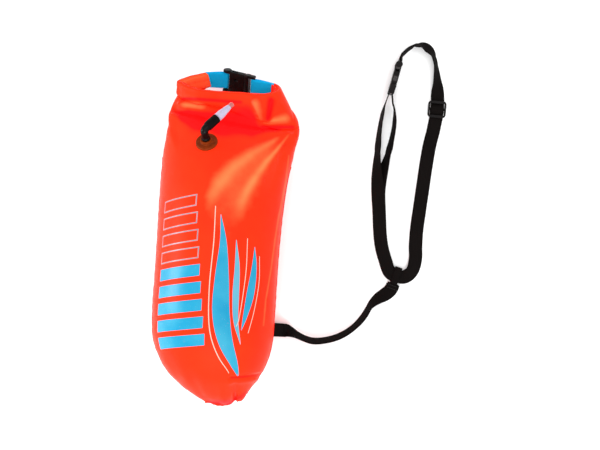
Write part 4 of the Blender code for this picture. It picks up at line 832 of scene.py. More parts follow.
def grid_object(name, grid, finish, uv, uv_name="skin", caps=False):
    """A mesh through closed rows of points; uv gives one pair for each point, by row and place in it."""
    rows = [list(row) for row in grid]
    wide = len(rows[0])
    verts = [p for row in rows for p in row]
    faces, corners = [], []
    for i in range(len(rows) - 1):
        for j in range(wide):
            k = (j + 1) % wide
            faces.append((i * wide + j, i * wide + k, (i + 1) * wide + k, (i + 1) * wide + j))
            corners.append(((i, j), (i, j + 1), (i + 1, j + 1), (i + 1, j)))
    ends = []
    if caps:
        ends = [tuple(range(wide))[::-1], tuple(range((len(rows) - 1) * wide, len(rows) * wide))]
    pairs = [uv(i, j) for four in corners for i, j in four]
    pairs += [(0.0, 0.0)] * sum(len(cap) for cap in ends)
    made = mesh_object(name, verts, faces + ends, finish, uv_name, pairs)
    made.data.shade_smooth()
    return made


def place_piece(made, body, replaces=()):
    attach(made, body)
    if replaces:
        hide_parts(*replaces)
    return made


def ribbon(name, points, axes, width, thickness, finish, columns=4):
    """Webbing along a route, with thin rounded selvedges."""
    half, deep = width / 2.0, thickness / 2.0
    top = [(-half + width * c / columns, deep) for c in range(columns + 1)]
    top[0], top[-1] = (-half + deep * 0.6, deep), (half - deep * 0.6, deep)
    section = [(-half, deep * 0.35)] + top + [(half, deep * 0.35), (half, -deep * 0.35)]
    section += [(a, -b) for a, b in reversed(top)] + [(-half, -deep * 0.35)]
    rows, run = [], run_lengths(points)
    for i, (point, axis) in enumerate(zip(points, axes)):
        along = direction(points, i)
        across = (axis - along * axis.dot(along)).normalized()
        through = along.cross(across)
        rows.append([point + across * a + through * b for a, b in section])
    count = len(section)
    made = grid_object(name, rows, finish, caps=True, uv_name="web",
                       uv=lambda i, j: (section[j % count][0] + half, run[i]))
    return made, run[-1]


def resample(points, axes, step):
    """The same route with points every `step`, and its width axes turned smoothly between."""
    run = run_lengths(points)
    count = max(int(run[-1] / step), 2)
    new_points, new_axes = [], []
    index = 0
    for k in range(count + 1):
        target = run[-1] * k / count
        while index < len(run) - 2 and run[index + 1] < target:
            index += 1
        share = (target - run[index]) / max(run[index + 1] - run[index], 1e-9)
        new_points.append(points[index].lerp(points[index + 1], share))
        new_axes.append(axes[index].lerp(axes[index + 1], share).normalized())
    return new_points, new_axes


def relax(points, rounds):
    """The route with its corners eased, but for two points at each end."""
    for _ in range(rounds):
        inner = range(2, len(points) - 2)
        eased_points = [points[i] * 0.5 + (points[i - 1] + points[i + 1]) * 0.25 for i in inner]
        points = points[:2] + eased_points + points[-2:]
    return points


# The bag's skin


FLAT_CORNER = (-0.0905, -0.0085)   # across and deep, where the roll's left end folds flat
FLAT_SHARE = 0.65
FLAT_COUNT = 1601            # points of the flattened line
FLAT_WINDOW = 75             # points over which its corners are eased


def flat_line():
    """The ring's line from one end of the roll to the other, its left end drawn towards a flat fold."""
    arcs = np.linspace(ROLL_START, ROLL_END, FLAT_COUNT)
    line = np.array([tuple(ring_at(a)[0]) for a in arcs])
    front = int(np.argmin(line[:, 1] + 10.0 * (line[:, 0] > -0.048)))
    corner = int(np.argmin(line[:, 0]))
    first, last = line[0], line[front]
    share = np.arange(front + 1)
    before = np.clip(share / corner, 0.0, 1.0)[:, None]
    after = np.clip((share - corner) / (front - corner), 0.0, 1.0)[:, None]
    spot = np.array(FLAT_CORNER)
    chord = np.where(share[:, None] < corner, first + (spot - first) * before, spot + (last - spot) * after)
    made = line.copy()
    made[:front + 1] += (chord - line[:front + 1]) * FLAT_SHARE
    window = np.hanning(FLAT_WINDOW)
    window /= window.sum()
    pad = FLAT_WINDOW // 2
    padded = np.concatenate([np.repeat(made[:1], pad, 0), made, np.repeat(made[-1:], pad, 0)])
    rounded = np.stack([np.convolve(padded[:, k], window, mode="valid") for k in (0, 1)], -1)
    order = np.arange(FLAT_COUNT)
    fade = np.clip(np.minimum(order, order[::-1]) / 40.0, 0.0, 1.0)[:, None]
    made = made + (rounded - made) * fade
    way = np.gradient(made, axis=0)
    way /= np.linalg.norm(way, axis=1, keepdims=True)
    normal = np.stack([way[:, 1], -way[:, 0]], -1)
    old = np.array([tuple(ring_at(a)[1]) for a in arcs[::100]])
    if (normal[::100] * old).sum() < 0.0:
        normal = -normal
    return arcs, made, normal


FLAT_ARCS, FLAT_POINTS, FLAT_NORMALS = flat_line()


def flat_ring(arc):
    tables = (FLAT_POINTS, FLAT_NORMALS)
    point, normal = (Vector([np.interp(arc, FLAT_ARCS, table[:, k]) for k in (0, 1)]) for table in tables)
    return point, normal.normalized()


def ring_arrays(u):
    """Ring points and normals for an array of places across, from -1 to 1."""
    table = np.linspace(-1.0, 1.0, 401)
    spots = [flat_ring(roll_arc(k)) for k in table]
    xs, ds, nx, ny = (np.array([pick(s) for s in spots]) for pick in (
        lambda s: s[0].x, lambda s: s[0].y, lambda s: s[1].x, lambda s: s[1].y))
    swing = np.unwrap(np.arctan2(nx, -ny))
    return np.interp(u, table, xs), np.interp(u, table, ds), np.interp(u, table, swing)


STATION_TABLE_T = np.linspace(0.0, 1.0, 801)
STATION_TABLE = station(np.minimum(STATION_TABLE_T, 0.99999))


def skin_base(t, u, side):
    """Points of the bag's outside for arrays t, u, with side 1 in front and -1 behind."""
    half_width, offset, top, bottom = (np.interp(t, STATION_TABLE_T, column) for column in STATION_TABLE)
    fold = eased((t - NECK_START_SHARE) / (1.0 - NECK_START_SHARE))
    arc = np.pi * (1.0 - u) / 2.0
    across = offset + half_width * np.cos(arc)
    middle = np.stack([across, BASE_Y + BODY_LENGTH * t, (top + bottom) / 2.0], -1)
    rx, rd, swing = ring_arrays(u)
    ring = (
        np.array(RING_CENTRE) + np.array(X_AXIS) * rx[..., None]
        + np.array(RING_DEPTH_AXIS) * rd[..., None] + np.array(RING_AXIS) * (-ROLL_WIDTH / 2.0 - FIT_GAP)
    )
    middle = middle * (1.0 - fold[..., None]) + ring * fold[..., None]
    front = np.array(Z_AXIS) * (1.0 - fold[..., None]) - np.array(RING_DEPTH_AXIS) * fold[..., None]
    front = front / np.linalg.norm(front, axis=-1, keepdims=True)
    swing = swing * fold
    outward = front * np.cos(swing)[..., None] + np.array(X_AXIS) * np.sin(swing)[..., None]
    bulge = (top - bottom) / 2.0 * np.sin(arc)
    thin = NECK_THICKNESS / 2.0
    depth = FIT_GAP * 0.5 + bulge + (thin - bulge) * fold
    return middle + outward * depth[..., None] * side


def segment(x, y, start, end, width, height):
    """A ridge of that height along a line on the bag, fading at its ends."""
    ax, ay = start
    bx, by = end
    length2 = (bx - ax) ** 2 + (by - ay) ** 2
    share = ((x - ax) * (bx - ax) + (y - ay) * (by - ay)) / length2
    clipped = np.clip(share, 0.0, 1.0)
    away = np.hypot(x - (ax + (bx - ax) * clipped), y - (ay + (by - ay) * clipped))
    local = width[0] + (width[1] - width[0]) * clipped
    tall = height[0] + (height[1] - height[0]) * clipped
    return tall * np.exp(-(away / local) ** 2)


def in_metres(rows, last=0.001):
    """Rows of X and Y from, X and Y to, two widths and two heights, in millimetres, as pairs in metres."""
    scale = (MM, MM, MM, last)
    return [tuple((row[2 * k] * scale[k], row[2 * k + 1] * scale[k]) for k in range(4)) for row in rows]


FRONT_FOLDS = in_metres((
    # the pinch at the right of the neck, and the tension lines that run out of the shoulder
    (66, 197, 118, 200, 4, 6, -6, -4), (72, 187, 112, 188, 6, 7, 3, 3), (60, 198, 10, 206, 5, 10, -5, -3),
    (64, 206, 30, 222, 4.5, 7, 3.6, 2.4), (108, 186, 52, 146, 5.5, 11, 3.4, 3.6),
    (52, 146, -4, 88, 11, 20, 3.6, 1.4), (104, 170, 56, 118, 6, 10, -3.4, -2.8),
    (100, 164, 66, 104, 6, 10, 3, 3.2), (66, 104, 36, 34, 10, 16, 3.2, 1),
    (104, 150, 86, 80, 5, 8, -2.2, -1.4),
    # the left shoulder
    (-88, 228, -40, 224, 5, 7, 5.2, 3.6), (-96, 218, -40, 212, 5, 8, -5, -4),
    (-100, 208, -52, 188, 6, 12, 2.4, 1.2), (-106, 190, -70, 160, 6, 12, -1.6, -0.8),
    (-40, 212, 4, 208, 8, 10, -4, -3), (-30, 230, 40, 230, 5, 6, -1.4, -1.2),
    # the base
    (42, -250, 90, -244, 4, 3.6, -3.2, -2.2), (40, -258, 84, -253, 5, 5, 2, 1.6),
    (51.5, -298, 50, -262, 4.5, 6, -2.6, -1.8), (30, -296, 26, -262, 8, 10, 2.4, 1.2),
    (-8, -290, -26, -252, 6, 10, -1.8, -1), (-50, -262, -70, -224, 8, 10, -1.4, -0.8),
))
BACK_FOLDS = in_metres((
    (-60, 180, -30, 80, 8, 18, 2.6, 1), (0, 190, 6, 90, 8, 18, -2.8, -1),
    (60, 190, 36, 80, 8, 20, 2.8, 1), (-30, 196, -60, 120, 6, 14, -2.6, -1),
    (80, 180, 84, 90, 7, 14, -2.2, -0.8), (0, -262, 10, -296, 7, 5, -2.6, -3),
    (30, -250, 46, -296, 8, 5, 2.2, 2), (-20, -246, -4, -290, 8, 6, 1.8, 1.8),
    (66, -236, 54, -284, 7, 5, -2, -1.8),
))


def wave(values, seeds, low, high):
    """A smooth uneven wave made of a few sines with fixed phases."""
    total = np.zeros_like(values)
    for k, seed in enumerate(seeds):
        total += np.sin(values * (low + (high - low) * k / max(len(seeds) - 1, 1)) + seed) / len(seeds)
    return total


PUCKER = 0.0008              # heights of the small waves: along the side seams,
BASE_WAVE = 0.0013           # at the round end,
NECK_WAVE = 0.0014           # under the roll,
BODY_WAVE = 0.0006           # and all over


def folds(t, u, side, base):
    """Height of the skin over its smooth form."""
    x, y = base[..., 0], base[..., 1]
    height = np.zeros_like(t)
    for row in (FRONT_FOLDS if side > 0 else BACK_FOLDS):
        height += segment(x, y, *row)
    height *= np.clip((1.0 - t) / 0.03, 0.0, 1.0)
    edge = np.exp(-((1.0 - np.abs(u)) / 0.055) ** 2)
    pucker = wave(y, (0.3, 1.9, 4.1, 2.7), 150.0, 420.0)
    middle = np.clip((t - 0.03) / 0.1, 0.0, 1.0) * np.clip((0.97 - t) / 0.1, 0.0, 1.0)
    height += PUCKER * pucker * edge * middle
    near_base = np.exp(-(t / 0.055) ** 2)
    height += BASE_WAVE * wave(x, (0.9, 2.2, 5.0), 90.0, 260.0) * near_base * np.cos(u * np.pi / 2.0)
    near_neck = np.exp(-((1.0 - t) / 0.09) ** 2) * np.clip((1.0 - t) / 0.02, 0.0, 1.0)
    height += NECK_WAVE * wave(u * 10.0, (0.2, 1.3, 3.3, 4.4), 0.9, 3.7) * near_neck
    body = np.sin(np.pi * np.clip(t, 0.0, 1.0))
    height += BODY_WAVE * wave(y + 0.6 * x, (1.0, 4.0), 24.0, 43.0) * body
    return height


def base_notch(x):
    """How far the base's edge is drawn in between its two lobes."""
    return 0.0085 * np.exp(-((x - 0.052) / 0.006) ** 2) + 0.0012 * np.exp(-((x - 0.004) / 0.008) ** 2)


SLOPE_STEP = 0.004           # of t and u, for the skin's slopes


def skin(t, u, side, lift=0.0):
    """Points on the finished skin, with its folds."""
    t, u = np.broadcast_arrays(np.asarray(t, float), np.asarray(u, float))
    base = skin_base(t, u, side)
    before, after = np.clip([t - SLOPE_STEP, t + SLOPE_STEP], 0.0, 1.0)
    down = skin_base(after, u, side) - skin_base(before, u, side)
    left, right = np.clip([u - SLOPE_STEP, u + SLOPE_STEP], -1.0, 1.0)
    across = skin_base(t, right, side) - skin_base(t, left, side)
    normal = np.cross(across, down) * side
    size = np.linalg.norm(normal, axis=-1, keepdims=True)
    normal = normal / np.maximum(size, 1e-12)
    seam = eased((1.0 - np.abs(u)) / 0.04)
    rise = folds(t, u, side, base) * (0.15 + 0.85 * seam) + lift
    points = base + normal * rise[..., None]
    points[..., 1] += base_notch(points[..., 0]) * np.exp(-(t / 0.045) ** 2)
    points[..., 2] = np.maximum(points[..., 2], 0.0003)
    return points


ACROSS = 0.168               # metres across the front for each unit of u
# Painted highlight on the roll's inner face at its left end; the painted shade and highlights fade in over
# these heights
INNER_PAINTED_HIGHLIGHT = 0.50            # of the roll's inner face at its left end
PAINTED_SHADING_LOW = 0.070             # height from which the tones fade in
PAINTED_SHADING_FADE = 0.030


def bag_skin():
    columns = 170
    base_rows = np.linspace(0.0, 0.12, 64, endpoint=False)
    middle_rows = np.linspace(0.12, 0.70, 120, endpoint=False)
    t = np.concatenate([base_rows, middle_rows, np.linspace(0.70, 1.0, 170)])
    even = np.linspace(-1.0, 1.0, columns)
    u = np.sin(even * math.pi / 2.0) * 0.35 + even * 0.65
    T, U = np.meshgrid(t, u, indexing="ij")
    front = skin(T, U, 1)
    behind = skin(T, U, -1)[:, ::-1]
    middle = (front[0] + behind[0, ::-1]) / 2.0
    turned_in = []
    for share in (1.0, 0.92, 0.7, 0.38):
        out = np.array([0.0, -0.0030, 0.0]) * math.sqrt(share)
        turned_in.append(np.concatenate([
            front[0] + (middle - front[0]) * share + out,
            behind[0] + (middle[::-1] - behind[0]) * share + out,
        ]))
    body = np.concatenate([front, behind], axis=1)
    inside = body[-1:] + np.array(RING_AXIS) * 0.007
    grid = np.concatenate([np.array(turned_in), body, inside])
    along = [-0.004, -0.003, -0.002, -0.001] + [v * BODY_LENGTH for v in t] + [BODY_LENGTH + 0.007]
    widths = list(u) + [2.0 - v for v in u[::-1]]
    return grid_object("bag_skin", grid, SHELL,
                       uv=lambda i, j: (widths[j % (2 * columns)] * ACROSS, along[i]))


# The same kind of rows, but their last pair says how strong the painted shade, below zero, or the painted
# highlight, above zero, is on the fabric
PAINTED_SHADE_AND_HIGHLIGHT = in_metres((
    (-97, 216, -75, 206, 6, 8, -0.4, -1), (-75, 206, -52, 197, 10, 12, -1, -1),
    (-52, 198, -4, 192, 14, 14, -1.1, -1.1), (-4, 192, 45, 190, 14, 11, -1.1, -1.1),
    (48, 189, 94, 194, 8, 4, -0.9, -0.5), (-70, 214, -10, 210, 7, 9, -0.5, -0.6),
    (-10, 212, 48, 212, 10, 12, -0.6, -0.8), (0, 228, 42, 228, 7, 9, -0.5, -0.4),
    (-85, 238.5, 22, 238.5, 3.2, 3.2, -0.9, -0.6), (75.5, 246.5, 73.5, 211, 5.5, 5, -0.9, -1),
    (66, 196.5, 118, 202, 3.5, 3.5, -0.9, -0.7), (-90, 231, -34, 223, 8, 7.5, 0.75, 0.6),
    (44, 248, 62, 202, 8.5, 6, 0.75, 0.75), (62, 202, 116, 220, 4.5, 9, 0.7, 0.75),
    (44.1, -248.6, 87.8, -244.6, 2, 2, -0.6, -0.4), (51.5, -300, 50, -272, 3, 3, -0.7, -0.1),
    (6, -301, 44, -299, 4.5, 6, -0.7, -1), (58, -289, 82, -270, 4, 4, -0.6, -0.4),
), 1.0)


# Painted highlight streaks along the right shoulder's folds and along the right weld: X, Y and width in
# millimetres, and strength
PAINTED_HIGHLIGHT_STREAKS = (
    ((101, 185, 3, 0), (84.5, 171, 4, 0.45), (51.5, 147, 8, 0.5), (22, 120, 11, 0.66), (0, 90, 12, 0.66),
     (-12, 66, 10, 0.45), (-16, 40, 8, 0)),
    ((114, 190, 2, 0.1), (93, 157, 3, 0.7), (75.5, 132, 5, 0.75), (61, 107, 7, 0.68),
     (48.5, 80, 8, 0.62), (40, 58, 9, 0.45), (37, 25, 9, 0)),
    ((104, 182, 10, 0), (78, 152, 18, 0.3), (48, 118, 28, 0.34), (28, 82, 34, 0.32), (14, 40, 34, 0.2),
     (6, -20, 30, 0)),
    ((115, 150, 1.6, 0.3), (112.2, 96.5, 1.6, 0.42), (105.5, 42.7, 1.6, 0.42), (101.7, -2, 1.6, 0.42),
     (98.6, -55.5, 1.6, 0.42), (93.7, -109.2, 1.6, 0.42), (93.2, -153.5, 1.6, 0.3)),
)


def paint_shade_and_highlight(made, chosen=None):
    """Stores painted shade and painted highlights on the fabric's points, as a tone; the chosen ones get an
    even painted highlight.
    """
    count = len(made.data.vertices)
    spots = np.empty(count * 3)
    made.data.vertices.foreach_get("co", spots)
    spots = spots.reshape(-1, 3)
    tone = np.zeros(count)
    for start, end, width, strength in PAINTED_SHADE_AND_HIGHLIGHT:
        amount = segment(spots[:, 0], spots[:, 1], start, end, width, strength)
        if strength[0] > 0.0:
            way = np.array(end) - np.array(start)
            share = ((spots[:, :2] - np.array(start)) @ way) / (way @ way)
            amount *= eased(np.minimum(share + 0.04, 1.04 - share) / 0.32)
        tone += amount
    # Painted highlight streaks
    for streak in PAINTED_HIGHLIGHT_STREAKS:
        ridge = np.zeros(count)
        for (ax, ay, *first), (bx, by, *last) in zip(streak, streak[1:]):
            (row,) = in_metres(((ax, ay, bx, by, first[0], last[0], first[1], last[1]),), 1.0)
            ridge = np.maximum(ridge, segment(spots[:, 0], spots[:, 1], *row))
        tone += ridge
    tone = np.clip(tone, -1.0, 1.0) * np.clip((spots[:, 2] - PAINTED_SHADING_LOW) / PAINTED_SHADING_FADE, 0.0, 1.0)
    if chosen is not None:
        tone = np.where(chosen, INNER_PAINTED_HIGHLIGHT, tone)
    layer = made.data.attributes.new("tone", "FLOAT", "POINT")
    layer.data.foreach_set("value", tone.astype(np.float32))


# Leash and belt


def tidy_axes(axes):
    kept = [axes[0]]
    for axis in axes[1:]:
        kept.append(-axis if axis.dot(kept[-1]) < 0.0 else axis)
    return kept


LEAN = math.radians(11.0)     # of webbing that stands on its edge
LEAN_START = 0.026            # of the run, kept square to the fitting
LEAN_EASE = 0.030             # of the run, over which the lean grows
UPRIGHT = 0.93                # of the width axis, where webbing counts as on its edge
BELT_STEP = 0.0018            # between the points of the belt's route
TAIL_GAP = 0.0004             # between the sewn tail and the strand
TAIL_EASE = 0.020             # of the run, over which the tail closes in


def leaned(points, axes):
    """Webbing on its edge leans a little, away from its fittings."""
    run = run_lengths(points)
    made, hand = [], 1.0
    for i, (axis, at) in enumerate(zip(axes, run)):
        along = direction(points, i)
        aside = Z_AXIS.cross(along)
        if abs(axis.dot(aside)) > 0.10:
            hand = math.copysign(1.0, axis.dot(aside))
        free = smoothstep((min(at, run[-1] - at) - LEAN_START) / LEAN_EASE)
        upright = smoothstep((abs(axis.z) - UPRIGHT) / 0.05)
        made.append((axis + aside * hand * math.tan(LEAN) * free * upright).normalized())
    return made


def strap(name, points, axes, node, body, step=0.004, rounds=2, lean=True):
    """Webbing along a route, evened out a little; with no body it is left unattached."""
    points, axes = resample(points, tidy_axes(axes), step)
    points = relax(points, rounds)
    if lean:
        axes = leaned(points, axes)
    made, _ = ribbon(name, points, axes, WEBBING, WEBBING_THICKNESS, WEB)
    if body:
        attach(made, body)
    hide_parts(node)
    return made, points


class Place:
    """The buckle's own frame and the lengths that the webbing needs."""

    def __init__(self, webbing, thickness, place):
        self.place = place
        self.slot_half = webbing / 2.0 + WEB_CLEAR
        self.half_width = self.slot_half + BUCKLE_RAIL
        self.half_length = BUCKLE_LENGTH / 2.0
        self.bar_edge = self.half_length - BUCKLE_BAR
        self.bend_radius = BUCKLE_BAR / 2.0 + FIT_GAP + thickness / 2.0


belt_buckle = Place(WEBBING, WEBBING_THICKNESS, belt_buckle_place())
closure_buckle = Place(TAB_WIDTH, TAB_THICKNESS, closure_place())

_, ring_bar = anchor_bars()
loop_points = leash_loop_points(ring_bar)
leash_points, leash_axes = leash_route(loop_points[-1])
main_points, main_axes = belt_main_points(belt_buckle)
back_points, back_axes = belt_return_points(belt_buckle)

leash, leash_path = strap("leash_webbing", leash_points, leash_axes, "leash", None)
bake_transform(leash)
loop, _ = strap("leash_eye", loop_points, [Y_AXIS] * len(loop_points), "leash_loop", "tow_ring",
                step=0.0012, rounds=0, lean=False)


def tuck_tail(points, axes, bar):
    """The sewn tail at the route's start lies against the strand beyond the bar."""
    turn = min(range(len(points) // 4), key=lambda i: (points[i] - bar).length)
    made = list(points)
    before = points[turn - 3] - points[turn + 3]
    for i in reversed(range(turn)):
        twin = 2 * turn - i
        along = (points[twin + 1] - points[twin - 1]).normalized()
        aside = along.cross(axes[twin]).normalized()
        if aside.dot(before) < 0.0:
            aside.negate()
        before = aside
        near = points[twin] + aside * (WEBBING_THICKNESS + TAIL_GAP)
        made[i] = points[i].lerp(near, smoothstep((turn - i) * BELT_STEP / TAIL_EASE - 0.35))
    return made


def split_strap(name, points, axes, cuts, node, bar=None):
    """A belt strand in parts, cut at the route's points nearest the given places."""
    points, axes = resample(points, tidy_axes(axes), BELT_STEP)
    if bar is not None:
        points = tuck_tail(points, axes, bar)
    points = relax(points, 1)
    axes = leaned(points, axes)
    ends = [0] + [min(range(len(points)), key=lambda i: (points[i] - cut).length) for cut in cuts]
    parts = []
    for k, (low, high) in enumerate(zip(ends, ends[1:] + [len(points) - 1])):
        route = points[low:high + 1]
        made, _ = ribbon(f"{name}_{k + 1}", route, axes[low:high + 1], WEBBING, WEBBING_THICKNESS, WEB)
        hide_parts(node)
        parts.append((made, route))
    return parts


slider_place = slider_frame()
slider_middle = slider_place.translation
hitch_middle = hitch_frame().translation
socket_bar = belt_buckle.place @ Vector((-belt_buckle.bar_edge, 0.0, 0.0))
main_parts = split_strap("belt_webbing", main_points, main_axes, (slider_middle, hitch_middle),
                         "belt_main_run", socket_bar)
back_parts = split_strap("belt_return_webbing", back_points, back_axes, (hitch_middle,), "belt_return_run")
male_edge = belt_buckle.place @ Vector((belt_buckle.half_length + 0.005, 0.0, 0.0))
for made, path in main_parts + back_parts:
    if min((path[k] - male_edge).length for k in (0, -1)) < 0.05:
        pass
    elif max(p.y for p in path) > slider_middle.y + 0.03:
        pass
    else:
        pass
    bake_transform(made)


# The bag's skin as a mesh

bag = bag_skin()
# Painted shade and highlights stored on the skin's points
paint_shade_and_highlight(bag)
place_piece(bag, "bag", ("front_panel", "back_panel"))


# The rolled mouth with the fabric that drapes from it to the right shoulder

ROLL_OUTER = (
    (0.0018, 0.0143), (0.0048, 0.0138), (0.0064, 0.0122), (0.0068, 0.0090), (0.0066, 0.0050),
    (0.0064, 0.0010), (0.0067, -0.0030), (0.0070, -0.0070), (0.0066, -0.0104), (0.0050, -0.0132),
    (0.0026, -0.0140),
)
ROLL_INNER = (
    (-0.0014, -0.0138), (-0.0044, -0.0128), (-0.0062, -0.0096), (-0.0066, -0.0040), (-0.0060, 0.0010),
    (-0.0066, 0.0060), (-0.0058, 0.0112), (-0.0040, 0.0128), (-0.0030, 0.0112), (-0.0012, 0.0112),
    (-0.0004, 0.0136),
)
DRAPE_FOLDS = in_metres((
    (44.5, 250, 64, 205, 6.5, 4.5, 7, 8.5), (77, 248, 71, 212, 8, 5, -10, -8),
    (68, 206, 113, 222.5, 4.5, 8.5, 8, 6), (64, 199, 115, 206, 4, 5.5, -8, -6),
    (56, 244, 64, 210, 3, 3, -1.8, -2.2), (88, 250, 108, 226, 5, 6, 2.2, 1.6),
    (10, 244, 40, 238, 4, 5, -1.2, -1.6), (20, 230, 56, 216, 6, 5, 1.8, 2.2),
))
COVER_COLUMNS = 260
END_SLANT = 0.30             # of the roll's left end, against its width
COVER_STEPS = 40
DRAPE_T = 0.880


def fine_profile(points, count):
    """The same open line of pairs with `count` evenly spread points on a smooth curve."""
    line = smooth_path([Vector((a, b)) for a, b in points], 8)
    run = run_lengths(line)
    return np.stack([
        np.interp(np.linspace(0.0, run[-1], count), run, [p.x for p in line]),
        np.interp(np.linspace(0.0, run[-1], count), run, [p.y for p in line]),
    ], -1)


def roll_cover():
    outer, inner = fine_profile(ROLL_OUTER, COVER_STEPS), fine_profile(ROLL_INNER, COVER_STEPS)
    centre, depth_axis, axis = np.array(RING_CENTRE), np.array(RING_DEPTH_AXIS), np.array(RING_AXIS)
    u = np.linspace(-1.0, 1.0, COVER_COLUMNS)
    shoulder = skin(np.full_like(u, DRAPE_T), u, 1, 0.0004)
    sunk = skin(np.full_like(u, DRAPE_T + 0.01), u, 1, -0.004)
    rows, arc_run = [], []
    for k, across in enumerate(u):
        arc = roll_arc(across)
        point, normal = flat_ring(arc)
        spread = np.array([point.x, point.y])
        out = np.array([normal.x, normal.y])
        onward = flat_ring(min(arc + 0.001, ROLL_END))[0] - flat_ring(min(arc + 0.001, ROLL_END) - 0.001)[0]
        onward = np.array(onward.normalized())
        ends = min((across + 1.0) / 0.10, (1.0 - across) / 0.10, 1.0)
        slant = END_SLANT * max(1.0 - (across + 1.0) / 0.12, 0.0)
        thin = 0.72 + 0.28 * ends
        ripple = 0.0006 * math.sin(arc * 95.0 + 1.0) + 0.0004 * math.sin(arc * 210.0)

        def at(pairs):
            a = pairs[:, 0] * thin + ripple
            b = pairs[:, 1] * (1.0 + 0.03 * math.sin(arc * 60.0 + 0.6))
            flat = spread + out * a[:, None] + onward * (b * slant)[:, None]
            return centre + flat[:, :1] * np.array(X_AXIS) + flat[:, 1:] * depth_axis + b[:, None] * axis

        face, back = at(outer), at(inner)
        weight = smoothstep((across - 0.02) / 0.55)
        if weight > 0.0:
            v = np.linspace(0.0, 1.0, COVER_STEPS)[:, None] ** 1.15
            start = face[3]
            control = at(np.array([[0.0120 + 0.006 * weight, -0.0110]]))[0]
            drape = start * (1.0 - v) ** 2 + control * 2.0 * v * (1.0 - v) + shoulder[k] * v ** 2
            keep = np.clip(v * 12.0, 0.0, 1.0)
            drape = face * (1.0 - keep) + drape * keep
            x, y = drape[:, 0], drape[:, 1]
            rise = sum(segment(x, y, *row) for row in DRAPE_FOLDS)
            rise = rise * np.sin(np.pi * v[:, 0] ** 0.8) ** 0.7
            drape = drape + rise[:, None] * np.array([0.0, -0.35, 0.94])
            face = face * (1.0 - weight) + drape * weight
            back = back.copy()
            back[0] = back[0] * (1.0 - weight) + sunk[k] * weight
        rows.append(np.concatenate([face, back]))
        arc_run.append(arc)
    return grid_object("roll_cover", rows, SHELL, caps=True, uv=lambda i, j: (arc_run[i], j * 0.0012))


cover = roll_cover()
# The roll's inner face left of its flat fold gets an even painted highlight; the rest gets the painted shade
# and highlights
spot_order = np.arange(COVER_COLUMNS * 2 * COVER_STEPS)
fold_column = int(COVER_COLUMNS * np.argmin(FLAT_POINTS[:, 0]) / len(FLAT_POINTS))
column, place = np.divmod(spot_order, 2 * COVER_STEPS)
paint_shade_and_highlight(cover, (column < fold_column) & (place >= COVER_STEPS))
place_piece(cover, "bag", ("roll_top",))


# Prints: slanted stripes on the left, flowing bands and pinstripes on the right

PRINT_LIFT = 0.00022
PRINT_CELL = 0.005


def offset_outline(points, distance):
    """The closed outline moved inwards by a distance, for a counter-clockwise list of pairs."""
    made = []
    count = len(points)
    for i in range(count):
        before, here, after = (Vector(points[(i + k) % count]) for k in (-1, 0, 1))
        first, second = (here - before).normalized(), (after - here).normalized()
        a, b = Vector((-first.y, first.x)), Vector((-second.y, second.x))
        middle = (a + b).normalized()
        made.append(tuple(here + middle * (distance / max(middle.dot(a), 0.3))))
    return made


def band(line, widths):
    """A closed outline round a centre line with a width at each of its points."""
    line = [Vector(p) for p in line]
    left, right = [], []
    for i, (point, width) in enumerate(zip(line, widths)):
        along = direction(line, i)
        aside = Vector((-along.y, along.x)) * width / 2.0
        left.append(tuple(point + aside))
        right.append(tuple(point - aside))
    return right + left[::-1]


def band_along(points):
    """A band through (across, along, width) rows in millimetres, rounded between them."""
    line = smooth_path([Vector(p) * MM for p in points], 8)
    return band([(p.x, p.y) for p in line], [max(p.z, 0.0006) for p in line])


def stripe(left, right, low, high, slant):
    return [(left, low), (right, low + slant), (right, high + slant), (left, high)]


def stroke(outline, width):
    inner = offset_outline(outline, width)
    count = len(outline)
    return [
        [outline[i], outline[(i + 1) % count], inner[(i + 1) % count], inner[i]] for i in range(count)
    ]


def print_object(name, outlines, finish):
    """Flat outlines in metres (across from the middle, along from the base) laid onto the front skin."""
    bm = bmesh.new()
    for outline in outlines:
        bm.faces.new([bm.verts.new((a, b, 0.0)) for a, b in outline])
    bmesh.ops.recalc_face_normals(bm, faces=bm.faces)
    low = [min(v.co[k] for v in bm.verts) for k in (0, 1)]
    high = [max(v.co[k] for v in bm.verts) for k in (0, 1)]
    for k, axis in ((0, X_AXIS), (1, Y_AXIS)):
        place = low[k] + PRINT_CELL / 2.0
        while place < high[k]:
            everything = list(bm.verts) + list(bm.edges) + list(bm.faces)
            bmesh.ops.bisect_plane(bm, geom=everything, dist=1e-7, plane_co=axis * place, plane_no=axis)
            place += PRINT_CELL
    bmesh.ops.triangulate(bm, faces=bm.faces)
    flat = np.array([tuple(v.co) for v in bm.verts])
    laid = skin(flat[:, 1] / BODY_LENGTH, flat[:, 0] / ACROSS, 1, PRINT_LIFT)
    for vert, point in zip(bm.verts, laid):
        vert.co = Vector(point)
    bm.normal_update()
    for face in bm.faces:
        face.smooth = True
        if face.normal.z < 0.0:
            face.normal_flip()
    mesh = bpy.data.meshes.new(name)
    bm.to_mesh(mesh)
    bm.free()
    mesh.materials.append(finish)
    place_piece(link(bpy.data.objects.new(name, mesh)), "bag")


STRIPES = [
    stripe(-0.112, -0.008 - 0.0036 * i, 0.092 + 0.0300 * i, 0.1125 + 0.0300 * i, 0.018) for i in range(9)
]
SOLID_STRIPES, OPEN_STRIPES = STRIPES[:5], STRIPES[5:]
